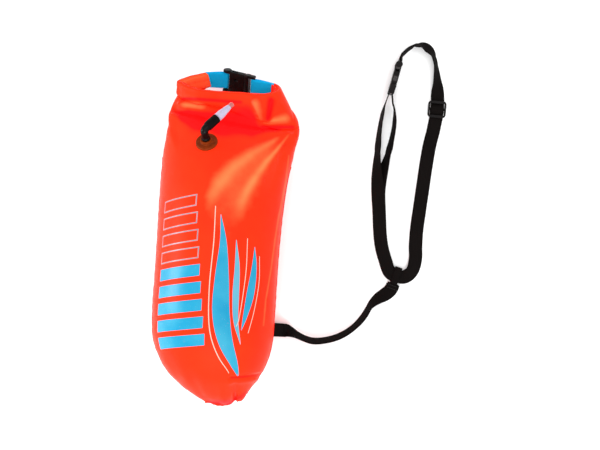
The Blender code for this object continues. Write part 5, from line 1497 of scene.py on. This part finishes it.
# Rows of across, along and width, in millimetres
BLUE_BANDS = [band_along(rows) for rows in (
    ((6, 338, 1), (14, 290, 12), (16, 230, 24), (18, 170, 30), (28, 120, 26), (46, 82, 16), (64, 56, 3)),
    ((72, 286, 1), (74, 250, 11), (70, 205, 16), (62, 165, 9), (56, 140, 1)),
)]
PALE_BANDS = [band_along(rows) for rows in (
    ((36, 296, 1), (41, 250, 9), (42, 200, 12), (45, 155, 9), (56, 115, 1)),
)]
PINSTRIPES = [band_along(rows) for rows in (
    ((-4, 352, 1.3), (-2, 290, 1.6), (-4, 210, 1.6), (0, 140, 1.6), (16, 92, 1.6), (40, 62, 1.2)),
    ((56, 300, 1.2), (58, 250, 1.4), (55, 200, 1.4), (50, 158, 1.4), (46, 146, 1.2)),
    ((84, 270, 1.2), (87, 225, 1.4), (80, 175, 1.4), (70, 135, 1.2)),
)]
print_object("print_stripes_solid", SOLID_STRIPES, BLUE_INK)
print_object("print_stripes_open", [s for o in OPEN_STRIPES for s in stroke(o, 0.0022)], SILVER_INK)
print_object("print_bands_blue", BLUE_BANDS, BLUE_INK)
print_object("print_bands_pale", PALE_BANDS, PALE_INK)
print_object("print_pinstripes", PINSTRIPES, CREAM_INK)


# Seams, base lip and the leash's patch


def closed_strip(name, outer, inner, finish, uv):
    """A thin solid between two open grids of the same size, rounded over at its long edges."""
    grid = [list(a) + list(b[::-1]) for a, b in zip(outer, inner)]
    return grid_object(name, grid, finish, caps=True, uv=uv)


SEAM_SPREAD = 0.050          # of the half girth, each side of the edge
SEAM_SHARES = (1.0 / 28.0, 22.0 / 28.0)   # of the bag's length


def side_seam(name, hand, node):
    t = np.linspace(*SEAM_SHARES, 240)
    half = np.linspace(0.0, 1.0, 7)
    around = [(1.0 - SEAM_SPREAD * (1.0 - v), 1) for v in half]
    around += [(1.0 - SEAM_SPREAD * v, -1) for v in half[1:]]
    rims = [min(k, len(around) - 1 - k) for k in range(len(around))]

    def layer(thick):
        columns = []
        for (u, side), rim in zip(around, rims):
            lift = thick if rim else min(thick, 0.0001)
            waver = 1.0 + 0.25 * np.sin(t * 40.0 + hand) * (rim == 0)
            columns.append(skin(t, np.full_like(t, hand * (1.0 - (1.0 - u) * waver)), side, lift))
        return np.stack(columns, 1)

    outer, inner = layer(0.0008), layer(-0.0003)
    count = 2 * len(around)
    made = closed_strip(name, outer, inner, TAPE, lambda i, j: ((j % count) * 0.003, t[i] * BODY_LENGTH))
    return place_piece(made, "bag", (node,))


side_seam("seam_tape_left", -1, "side_seam_left")
side_seam("seam_tape_right", 1, "side_seam_right")


LIP_REACH = 0.0058


def base_lip():
    """The welded lip at the round end, its free edge lobed and wavy."""
    half_width, offset, top, bottom = station(0.0)
    middle_z = (top + bottom) / 2.0
    section = [(0.0, 0.5), (0.35, 0.55), (0.80, 0.50), (0.96, 0.30), (1.0, 0.0)]
    section += [(away, -rise) for away, rise in reversed(section[:-1])]
    rows, xs = [], np.linspace(offset - half_width * 0.84, offset + half_width * 0.62, 60)
    for k, x in enumerate(xs):
        share = min(max(k / 59.0, 0.005), 0.995)
        reach = LIP_REACH * math.sin(math.pi * share) ** 0.6 + 0.0003 * math.sin(x * 700.0)
        drop = -0.0010 - 0.0012 * math.sin(x * 190.0 + 0.4)
        start = BASE_Y + 0.0010 + float(base_notch(np.array(x)))
        rows.append([
            Vector((x, start - (reach + 0.0010) * away, middle_z + WELD_THICKNESS * rise + drop * away))
            for away, rise in section
        ])
    made = grid_object("base_lip", rows, TAPE, caps=True, uv=lambda i, j: (xs[i], j * MM))
    return place_piece(made, "bag", ("base_weld",))


base_lip()


def leash_patch():
    t0, u0 = anchor_t(), ANCHOR_U
    reach_t = PATCH_SIZE / 2.0 / BODY_LENGTH
    reach_u = PATCH_SIZE / (math.pi * BODY_RADIUS)
    steps = np.linspace(-1.0, 1.0, 41)
    A, B = np.meshgrid(steps, steps, indexing="ij")
    ta = A * np.sqrt(1.0 - 0.30 * B ** 4)
    ub = B * np.sqrt(1.0 - 0.30 * A ** 4)
    edge = 1.0 - np.maximum(np.abs(A), np.abs(B))
    weld = np.exp(-((edge - 0.13) / 0.035) ** 2) * -0.0005 + np.exp(-((edge - 0.05) / 0.03) ** 2) * 0.0002
    rim = np.clip(edge / 0.03, 0.0, 1.0)
    thick = FIT_GAP + PATCH_THICKNESS * (0.25 + 0.75 * rim) + weld
    outer = skin(t0 + reach_t * ta, u0 + reach_u * ub, -1, thick)
    inner = skin(t0 + reach_t * ta, u0 + reach_u * ub, -1, -0.0006)
    made = closed_strip("leash_patch_sewn", outer, inner, TAPE, lambda i, j: (i * 0.001, (j % 82) * 0.001))
    return place_piece(made, "bag", ("leash_patch",))


leash_patch()


# The strips inside the roll follow its flat fold
for strip_name, hand in (("stiffener_front", 1), ("stiffener_back", -1)):
    spots = [flat_ring(roll_arc(across)) for across in np.linspace(-0.94, 0.94, 150)]
    away = hand * (STIFFENER_THICKNESS + FIT_GAP) / 2.0
    strip_points = [ring_world(*(point + normal * away)) for point, normal in spots]
    strip_width = ROLL_WIDTH - 2.0 * (ROLL_WALL + FIT_GAP)
    strip_axes = [RING_AXIS] * len(strip_points)
    strip_inside, _ = ribbon(strip_name + "_strip", strip_points, strip_axes, strip_width,
                             STIFFENER_THICKNESS, STRIP)
    place_piece(strip_inside, "bag", (strip_name,))


# Tabs, loops and stitches


STITCH_PITCH = 0.0034
STITCH_LENGTH = 0.0025
STITCH_WIDTH = 0.0008
SEW_STEP = 0.0008            # between the points of the route that the stitches follow


def sew(name, points, axes, lines, body, thickness=WEBBING_THICKNESS, finish=THREAD):
    """Stitches along lines of (run, across) pairs on a ribbon, as raised threads on both its faces."""
    points, axes = resample(points, tidy_axes(axes), SEW_STEP)
    verts, faces = [], []
    for line in lines:
        for (run0, off0), (run1, off1) in zip(line, line[1:]):
            size = math.hypot(run1 - run0, off1 - off0)
            for k in range(max(int(size / STITCH_PITCH), 1)):
                share = (k + 0.5) * STITCH_PITCH / size
                if share > 1.0:
                    break
                run, off = run0 + (run1 - run0) * share, off0 + (off1 - off0) * share
                index = min(max(int(run / SEW_STEP), 1), len(points) - 2)
                along = (points[index + 1] - points[index - 1]).normalized()
                across = (axes[index] - along * axes[index].dot(along)).normalized()
                through = along.cross(across)
                course = (along * (run1 - run0) + across * (off1 - off0)).normalized()
                aside = through.cross(course)
                for side in (1, -1):
                    spot = points[index] + across * off + through * side * (thickness / 2.0 + 0.0001)
                    base = len(verts)
                    for step in (-1.0, -0.45, 0.45, 1.0):
                        rise = 0.0004 if abs(step) < 0.9 else -0.0003
                        for a, b in ((-1, -0.6), (-0.55, 0.8), (0.55, 0.8), (1, -0.6)):
                            verts.append(spot + course * step * STITCH_LENGTH / 2.0
                                         + aside * a * STITCH_WIDTH / 2.0
                                         + through * side * (rise + b * 0.00022))
                    faces += bar_faces(base, 4, 4)
    made = mesh_object(name, verts, faces, finish, "web")
    made.data.shade_smooth()
    return place_piece(made, body)


def tab_points(buckle, hand):
    start = ROLL_START - FIT_GAP if hand < 0 else ROLL_END + FIT_GAP
    end = 0.0 if hand < 0 else RING_ARC[-1]
    place = buckle.place
    inward = place.to_3x3() @ Vector((-hand, 0.0, 0.0))
    aside = place.to_3x3() @ Z_AXIS
    near = (TAB_THICKNESS + TAB_LAYER_GAP) / 2.0
    short = end - hand * TAB_STRAIGHT
    leg = []
    for share in shares(24):
        point, normal = ring_at(start + (short - start) * share)
        outward = ring_world(normal.x, normal.y) - Vector(RING_CENTRE)
        if outward.dot(aside) < 0.0:
            outward.negate()
        apart = near + (buckle.bend_radius - near) * smoothstep(share)
        leg.append((ring_world(point.x, point.y), outward, apart))
    edge = place @ Vector((hand * buckle.bar_edge, 0.0, 0.0))
    leg.append((edge - inward * BUCKLE_BAR * TAB_LEVEL_SHARE, aside, buckle.bend_radius))
    points = [p + d * s for p, d, s in leg]
    points += hairpin(edge, inward, aside, buckle.bend_radius, 20)
    points += [p - d * s for p, d, s in reversed(leg)]
    hidden = (points[0] - points[1]).normalized() * (0.006 if hand < 0 else 0.003)
    return [points[0] + hidden] + points + [points[-1] + hidden]


tab_parts = []
for side_name, hand in (("left", -1), ("right", 1)):
    route = tab_points(closure_buckle, hand)
    route_axes = [RING_AXIS] * len(route)
    fine, fine_axes = resample(route, route_axes, 0.0015)
    made, run = ribbon(f"tab_{side_name}_webbing", relax(fine, 1), fine_axes, TAB_WIDTH, TAB_THICKNESS,
                       BLUE_WEB, 8)
    lines = [[(0.0030, -0.0115), (0.0030, 0.0115)], [(0.0055, -0.0115), (0.0055, 0.0115)]]
    lines += [[(run - a, b) for a, b in line] for line in lines]
    threads = sew(f"tab_{side_name}_stitches", route, route_axes, lines, "bag", TAB_THICKNESS, BLUE_THREAD)
    tab_parts.append((side_name, made, threads, route))
    if side_name == "left":
        place_piece(made, "bag", ("tab_left",))
    else:
        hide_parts("tab_right")
        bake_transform(made)

near_bar, _ = anchor_bars()
tab_aside = ANCHOR_NORMAL.cross(Y_AXIS)
foot = anchor_point()
tab_root, wrap = foot + ANCHOR_NORMAL * 0.002, tab_aside * WRAP_RADIUS
wider = tab_aside * (WRAP_RADIUS + 0.0006)
tab_route = [foot + wider, tab_root + wrap]
tab_route += hairpin(near_bar, ANCHOR_NORMAL, tab_aside, WRAP_RADIUS, 16)
tab_route += [tab_root - wrap, foot - wider]
tab_fine, tab_fine_axes = resample(tab_route, [Y_AXIS] * len(tab_route), 0.0008)
made, run = ribbon("anchor_tab_webbing", tab_fine, tab_fine_axes, WEBBING, WEBBING_THICKNESS, WEB, 8)
place_piece(made, "bag", ("anchor_tab",))
sew("anchor_tab_stitches", tab_route, [Y_AXIS] * len(tab_route),
    [[(0.0045, -0.0105), (0.0045, 0.0105)], [(0.0065, -0.0105), (0.0065, 0.0105)],
     [(run - 0.0045, -0.0105), (run - 0.0045, 0.0105)]], "bag")


def loop_band(name, outline, axis, width, thickness, finish):
    """Webbing sewn into a closed loop that follows the outline."""
    half, deep = width / 2.0, thickness / 2.0
    section = [(-half, 0.0), (-half + deep, deep), (0.0, deep), (half - deep, deep), (half, 0.0),
               (half - deep, -deep), (0.0, -deep), (-half + deep, -deep)]
    rows, run = [], [0.0]
    count = len(outline)
    for i in range(count + 1):
        here, before, after = (outline[(i + k) % count] for k in (0, -1, 1))
        along = (after - before).normalized()
        through = along.cross(axis).normalized()
        rows.append([here + axis * a + through * b for a, b in section])
        run.append(run[-1] + (outline[(i + 1) % count] - here).length)
    return grid_object(name, rows, finish, uv_name="web",
                       uv=lambda i, j: (section[j % 8][0] + half, run[i]))


hitch_place = hitch_frame()
hitch_axis = (hitch_place.to_3x3() @ X_AXIS).normalized()
hitch_half = WEBBING_THICKNESS + STRAND_GAP / 2.0 + HITCH_HEAD_CLEAR + HITCH_WALL / 2.0
hitch_section = rounded_section(hitch_half, hitch_half_width() - HITCH_WALL / 2.0, HITCH_WALL * 1.2, 6)
hitch_outline = [hitch_place @ Vector((0.0, across, through)) for through, across in hitch_section]
fuller = []
for i, here in enumerate(hitch_outline):
    after = hitch_outline[(i + 1) % len(hitch_outline)]
    pieces = max(int((after - here).length / 0.0015), 1)
    fuller += [here.lerp(after, k / pieces) for k in range(pieces)]
hitch = loop_band("hitch_webbing", fuller, hitch_axis, HITCH_WIDTH, HITCH_WALL, WEB)
place_piece(hitch, "bag", ("leash_hitch",))

leash_way = (leash_path[-1] - leash_path[-3]).normalized()
leash_across = leash_axes[-1].normalized()
leash_through = leash_way.cross(leash_across).normalized()
for wrap_name, hand in (("hitch_wrap_upper", 1), ("hitch_wrap_lower", -1)):
    shift = leash_through * hand * (WEBBING_THICKNESS + 0.0002)
    wrap_ends = [leash_path[-1] + leash_way * 0.0014 * k - leash_way * 0.0105 * (1 - k) for k in shares(12)]
    wrap_route = [p + shift * min(1.0, 0.25 + 6.0 * (1.0 - k)) for p, k in zip(wrap_ends, shares(12))]
    wrap, _ = ribbon(wrap_name, wrap_route, [leash_across] * 13, WEBBING * 0.86, WEBBING_THICKNESS * 0.8,
                     WEB, 6)
    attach(wrap, "bag")
sew("hitch_stitches", [leash_path[-1] - leash_way * 0.012, leash_path[-1]], [leash_across] * 2,
    [[(0.0032, -0.0095), (0.0032, 0.0095)], [(0.0095, -0.0095), (0.0095, 0.0095)]], "bag",
    WEBBING_THICKNESS * 3.2, GREY_THREAD)


# Valve


def lathe(name, outline, corner, place, finish, steps=56):
    """A turned shape from a closed (radius, height) outline, its corners cut round."""
    profile = rounded_profile(outline, corner)
    rows = []
    for step in range(steps + 1):
        angle = 2.0 * math.pi * step / steps
        rows.append([place @ Vector((r * math.cos(angle), r * math.sin(angle), h)) for r, h in profile])
    made = grid_object(name, rows, finish,
                       uv=lambda i, j: (2.0 * math.pi * i / steps * 0.01, (j % len(profile)) * 0.001))
    mend(made.data, 0.000004)
    return made


def rounded_profile(points, radius):
    """A closed outline with its corners cut round."""
    steps = 3
    made = []
    count = len(points)
    for i in range(count):
        before, here, after = (Vector(points[(i + k) % count]) for k in (-1, 0, 1))
        into, out = before - here, after - here
        cut = min(radius, into.length * 0.45, out.length * 0.45)
        a, b = here + into.normalized() * cut, here + out.normalized() * cut
        for step in range(steps + 1):
            s = step / steps
            made.append(tuple(a * (1 - s) ** 2 + here * 2 * s * (1 - s) + b * s ** 2))
    return made


joints = {joint["name"]: joint for joint in frame["joints"]}
valve_base = Vector(joints["valve_swivel"]["pos_m"])
valve_normal = Vector(joints["valve_swivel"]["axis"]).normalized()
knuckle = Vector(joints["mouthpiece_twist"]["pos_m"])
arm_axis = Vector(joints["mouthpiece_twist"]["axis"]).normalized()
if arm_axis.dot(Vector(ARM_AXIS)) < 0.0:
    arm_axis.negate()
arm_side = arm_axis - valve_normal * arm_axis.dot(valve_normal)
base_place = frame_matrix(valve_base, arm_side, valve_normal.cross(arm_side))
side_axis = (base_place.to_3x3() @ Y_AXIS).normalized()
arm_place = frame_matrix(knuckle, side_axis, arm_axis.cross(side_axis))
lift, rim = FLANGE_LIFT, FLANGE_LIFT + FLANGE_THICKNESS
flange_outline = [(FLANGE_RADIUS, rim - 0.0008), (FLANGE_RADIUS + 0.0004, -0.0012), (0.0084, -0.0012),
                  (0.0078, -BARREL_DEPTH), (STEM_BORE, -BARREL_DEPTH), (STEM_BORE, rim),
                  (STEM_RADIUS + FIT_GAP, rim), (STEM_RADIUS + FIT_GAP, rim + SOCKET_HEIGHT),
                  (SOCKET_RADIUS, rim + SOCKET_HEIGHT),
                  (SOCKET_RADIUS + 0.0003, rim + 0.0012), (SOCKET_RADIUS + 0.0016, rim)]
for ridge in range(3):
    out = SOCKET_RADIUS + 0.0030 + 0.0021 * ridge
    ridge_top = rim + 0.00035
    flange_outline += [(out, rim), (out + 0.0004, ridge_top), (out + 0.0009, ridge_top), (out + 0.0013, rim)]
flange_outline += [(FLANGE_RADIUS - 0.0010, rim)]
flange = lathe("valve_base_disc", flange_outline, 0.0004, base_place, OLIVE, 72)
place_piece(flange, "bag", ("valve_flange",))


def tube_path(path, radii, bore, name, finish, side):
    """A hollow bent tube."""
    outer, inner = [], []
    for i, (point, radius) in enumerate(zip(path, radii)):
        along = direction(path, i)
        across = side.cross(along).normalized()
        turn = [side * math.cos(a) + across * math.sin(a)
                for a in np.linspace(0.0, 2.0 * math.pi, 36, endpoint=False)]
        outer.append([point + way * radius for way in turn])
        inner.append([point + way * bore for way in turn])
    rows = outer + inner[::-1] + outer[:1]
    made = grid_object(name, rows, finish, uv=lambda i, j: (j * 0.001, i * 0.001))
    mend(made.data, 0.000002)
    return made


bend = STEM_RADIUS * KNUCKLE_RADIUS_SHARE
elbow_path = [valve_base + valve_normal * (rim + FIT_GAP)]
straight_end = knuckle - valve_normal * bend
for share in shares(14)[1:]:
    elbow_path.append(elbow_path[0].lerp(straight_end, share))
for share in shares(12)[1:]:
    first = straight_end.lerp(knuckle, share)
    second = knuckle.lerp(knuckle + arm_axis * bend, share)
    elbow_path.append(first.lerp(second, share))
for share in shares(8)[1:]:
    elbow_path.append((knuckle + arm_axis * bend).lerp(knuckle + arm_axis * 0.0235, share))
radii = []
for i, point in enumerate(elbow_path):
    height = (point - elbow_path[0]).dot(valve_normal)
    collar = 0.0011 * math.exp(-((height - SOCKET_HEIGHT - 0.0022) / 0.0011) ** 4) if i <= 14 else 0.0
    neck = 0.0004 if i <= 14 and height > 0.012 else 0.0
    radii.append((STEM_RADIUS if i <= 26 else ARM_TUBE_RADIUS) + collar - neck)
elbow = tube_path(elbow_path, radii, ARM_TUBE_BORE, "valve_bend", GLOSSY, side_axis)
place_piece(elbow, "valve_arm", ("valve_elbow",))
sleeve_outline = [(SLEEVE_RADIUS - 0.0014, SLEEVE_LENGTH), (ARM_TUBE_RADIUS + FIT_GAP, SLEEVE_LENGTH),
                  (ARM_TUBE_RADIUS + FIT_GAP, SLEEVE_START - 0.0004),
                  (SLEEVE_RADIUS - 0.0020, SLEEVE_START - 0.0004),
                  (SLEEVE_RADIUS - 0.0004, SLEEVE_START + 0.0004), (SLEEVE_RADIUS, SLEEVE_START + 0.0030)]
for ridge in range(5):
    at = SLEEVE_LENGTH - 0.0120 + ridge * 0.0021
    sleeve_outline += [(SLEEVE_RADIUS, at), (SLEEVE_RADIUS - 0.0005, at + 0.0004),
                       (SLEEVE_RADIUS - 0.0005, at + 0.0009), (SLEEVE_RADIUS, at + 0.0013)]
sleeve_outline += [(SLEEVE_RADIUS, SLEEVE_LENGTH - 0.0010)]
sleeve = lathe("valve_arm_sleeve", sleeve_outline, 0.0005, arm_place, RUBBER)
place_piece(sleeve, "valve_arm", ("valve_sleeve",))
mouth = SLEEVE_LENGTH + FIT_GAP
mouth_end = mouth + MOUTHPIECE_LENGTH
mouth_outline = [(MOUTHPIECE_BORE, mouth_end), (MOUTHPIECE_BORE, mouth - TWIST_NECK_LENGTH),
                 (NECK_RADIUS, mouth - TWIST_NECK_LENGTH), (NECK_RADIUS, mouth), (MOUTHPIECE_RADIUS, mouth),
                 (MOUTHPIECE_RADIUS, mouth + 0.0014), (MOUTHPIECE_RADIUS - 0.0004, mouth + 0.0017),
                 (MOUTHPIECE_RADIUS - 0.0004, mouth + 0.0023), (MOUTHPIECE_RADIUS, mouth + 0.0026),
                 (MOUTHPIECE_RADIUS, mouth + MOUTHPIECE_LENGTH / 3.0),
                 (MOUTHPIECE_TIP_RADIUS + 0.0011, mouth + MOUTHPIECE_LENGTH * 0.78),
                 (MOUTHPIECE_TIP_RADIUS, mouth_end)]
mouth_piece = lathe("mouthpiece_tube", mouth_outline, 0.0006, arm_place, MOUTH)
place_piece(mouth_piece, "mouth_tube", ("mouthpiece",))
tip_foot = mouth_end + FIT_GAP
tip_outline = [(MOUTHPIECE_BORE, tip_foot), (MOUTHPIECE_TIP_RADIUS, tip_foot),
               (MOUTHPIECE_TIP_RADIUS - 0.0002, tip_foot + TIP_LENGTH * 0.55),
               (MOUTHPIECE_TIP_RADIUS + 0.0003, tip_foot + TIP_LENGTH * 0.80),
               (MOUTHPIECE_TIP_RADIUS - 0.0006, tip_foot + TIP_LENGTH),
               (MOUTHPIECE_BORE, tip_foot + TIP_LENGTH)]
soft_tip = lathe("mouthpiece_lip", tip_outline, 0.0008, arm_place, SOFT_TIP)
place_piece(soft_tip, "mouth_tube", ("mouthpiece_tip",))


spring_top = ARM_TUBE_END - SEAT_DEPTH - POPPET_HEAD - FIT_GAP - SPRING_WIRE
spring_height = SPRING_TURNS * SPRING_WIRE * 3.2
coil_rows = []
for share in shares(SPRING_TURNS * 20):
    turn = 2.0 * math.pi * SPRING_TURNS * share
    way = Vector((math.cos(turn), math.sin(turn), 0.0))
    middle = way * SPRING_RADIUS + Z_AXIS * (spring_top - spring_height * share)
    coil_rows.append([arm_place @ (middle + (way * math.cos(a) + Z_AXIS * math.sin(a)) * SPRING_WIRE)
                      for a in np.linspace(0.0, 2.0 * math.pi, 10, endpoint=False)])
coil = grid_object("poppet_coil", coil_rows, STEEL, caps=True, uv=lambda i, j: (i * MM, j * MM))
place_piece(coil, "valve_arm", ("poppet_spring",))
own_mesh(coil)


# Buckles and slider: the solids' own forms with softened moulded edges; the anchor ring is only shaded
# smooth


FLAT_ANGLE = math.radians(1.5)     # facets that count as one face
SHARP_ANGLE = math.radians(28.0)   # edges that are rounded
CREASE_ANGLE = math.radians(35.0)  # edges that stay sharp in the shading


def soften(name, node, body, width):
    """A copy of a hard solid with its edges rounded."""
    mesh = NODES[node].data.copy()
    mesh.name = name
    made = link(bpy.data.objects.new(name, mesh))
    made.matrix_world = NODES[node].matrix_world.copy()
    mesh.materials.clear()
    mesh.materials.append(PLASTIC)
    bm = bmesh.new()
    bm.from_mesh(mesh)
    bmesh.ops.remove_doubles(bm, verts=bm.verts, dist=0.00001)
    bmesh.ops.dissolve_limit(bm, angle_limit=FLAT_ANGLE, verts=bm.verts, edges=bm.edges)
    sharp = [e for e in bm.edges if len(e.link_faces) == 2 and e.calc_face_angle(0.0) > SHARP_ANGLE]
    bmesh.ops.bevel(bm, geom=sharp, offset=width, offset_type="OFFSET", segments=2, profile=0.5,
                    affect="EDGES", clamp_overlap=True)
    bmesh.ops.recalc_face_normals(bm, faces=bm.faces)
    bm.to_mesh(mesh)
    bm.free()
    mesh.shade_smooth()
    mesh.set_sharp_from_angle(angle=CREASE_ANGLE)
    return place_piece(made, body, (node,))


soften("closure_socket_shell", "closure_socket", "bag", 0.0005)
soften("closure_clip_shell", "closure_clip", "closure_male", 0.0005)
belt_socket_piece = soften("belt_socket_shell", "belt_socket", "bag", 0.0005)
belt_clip_piece = soften("belt_clip_shell", "belt_clip", "belt_male", 0.0005)
slider = soften("slider_plate", "belt_slider", "belt_adjuster", 0.0006)


def grip_pads(name, buckle, spans, body, finish):
    """Low pads with cross ribs on both edges of a buckle's female half."""
    verts, faces = [], []
    for low, high in spans:
        for side in (1.0, -1.0):
            ribs = [(low, high, 0.0040, 0.00018)]
            starts = np.arange(low + 0.0012, high - 0.0012, 0.0018)
            ribs += [(at, at + 0.0007, 0.0033, 0.00045) for at in starts]
            for first, last, half, proud in ribs:
                base = len(verts)
                for deep in (-0.0004, proud):
                    inset = 0.0002 if deep > 0.0 else 0.0
                    for a, b in ((first + inset, -half + inset), (last - inset, -half + inset),
                                 (last - inset, half - inset), (first + inset, half - inset)):
                        verts.append(buckle.place @ Vector((a, side * (buckle.half_width + deep), b)))
                faces += bar_faces(base, 2, 4)
    return place_piece(mesh_object(name, verts, faces, finish), body)


def end_bosses(name, buckle, at, radius, proud, body):
    """Rounded bosses on both rails of a buckle, round the ends of a bar."""
    verts, faces = [], []
    steps = 28
    for side in (1.0, -1.0):
        base = len(verts)
        outer, inner = buckle.half_width + proud, buckle.slot_half + 0.0006
        rows = [(outer, radius - 0.0012), (outer - 0.0004, radius - 0.0004), (outer - 0.0012, radius),
                (inner + 0.0006, radius), (inner, radius - 0.0006)]
        for across, round_radius in rows:
            for k in range(steps):
                turn = 2.0 * math.pi * k / steps
                along, up = round_radius * math.cos(turn), round_radius * math.sin(turn)
                verts.append(buckle.place @ Vector((at + along, side * across, up)))
        faces += bar_faces(base, len(rows), steps)
    made = mesh_object(name, verts, faces, PLASTIC)
    for face in made.data.polygons:
        face.use_smooth = len(face.vertices) == 4
    return place_piece(made, body)


grip_pads("belt_socket_pads", belt_buckle, ((-0.0270, -0.0165), (-0.0030, 0.0060)), "bag", GREY_PLASTIC)
for label, buckle, round_radius, proud in (("closure", closure_buckle, 0.0078, 0.0014),
                                           ("belt", belt_buckle, 0.0064, 0.0009)):
    end_bosses(label + "_socket_bosses", buckle, -buckle.bar_edge, round_radius, proud, "bag")
    end_bosses(label + "_clip_bosses", buckle, buckle.bar_edge - 0.0095, 0.0060, 0.0006, label + "_male")
grip_pads("closure_socket_pads", closure_buckle, ((-0.0270, -0.0165), (-0.0030, 0.0060)), "bag", PLASTIC)
for hand, far in (("upper", "up"), ("lower", "low")):
    soften(f"closure_prong_{hand}_arm", f"closure_prong_{hand}", f"closure_prong_{far}", 0.0004)
    arm = soften(f"belt_prong_{hand}_arm", f"belt_prong_{hand}", f"belt_prong_{far}", 0.0004)
NODES["anchor_ring"].data.shade_smooth()

NODE_FINISH = {
    "dry_liner": FILM, "valve_seal": RUBBER, "valve_backing": PLASTIC, "poppet": OLIVE,
    "anchor_ring": PLASTIC,
}
for name, finish in NODE_FINISH.items():
    made = NODES[name]
    made.data.materials.clear()
    made.data.materials.append(finish)


# Floor and light


floor_mesh = bpy.data.meshes.new("floor")
floor_mesh.from_pydata([(-6, -6, 0), (6, -6, 0), (6, 6, 0), (-6, 6, 0)], [], [(0, 1, 2, 3)])
floor = link(bpy.data.objects.new("floor", floor_mesh))
floor.location.z = -0.0002
floor_finish = Shader("floor_white", (0.96, 0.96, 0.96), 0.9, specular=0.1)
floor_mesh.materials.append(floor_finish.made)

bpy.context.scene.view_settings.view_transform = "Standard"
world = bpy.data.worlds.new("studio")
bpy.context.scene.world = world
world.use_nodes = True
world.node_tree.nodes["Background"].inputs["Color"].default_value = (1.0, 1.0, 1.0, 1.0)
world.node_tree.nodes["Background"].inputs["Strength"].default_value = 1.10


def area_light(name, place, target, size, power):
    data = bpy.data.lights.new(name, "AREA")
    data.shape = "RECTANGLE"
    data.size, data.size_y = size
    data.energy = power
    made = link(bpy.data.objects.new(name, data))
    made.location = place
    made.rotation_euler = (Vector(target) - Vector(place)).to_track_quat("-Z", "Y").to_euler()


area_light("soft_left", (-1.3, -0.1, 0.42), (0.0, -0.02, 0.12), (0.30, 0.55), 12.0)
area_light("soft_front", (0.25, -1.9, 1.7), (0.05, 0.0, 0.1), (1.6, 1.0), 32.0)
area_light("soft_shoulder", (1.02, 1.10, 2.05), (0.06, 0.12, 0.18), (0.90, 0.50), 5.0)
area_light("soft_top", (0.15, 0.0, 3.3), (0.15, 0.0, 0.0), (3.0, 3.0), 34.0)
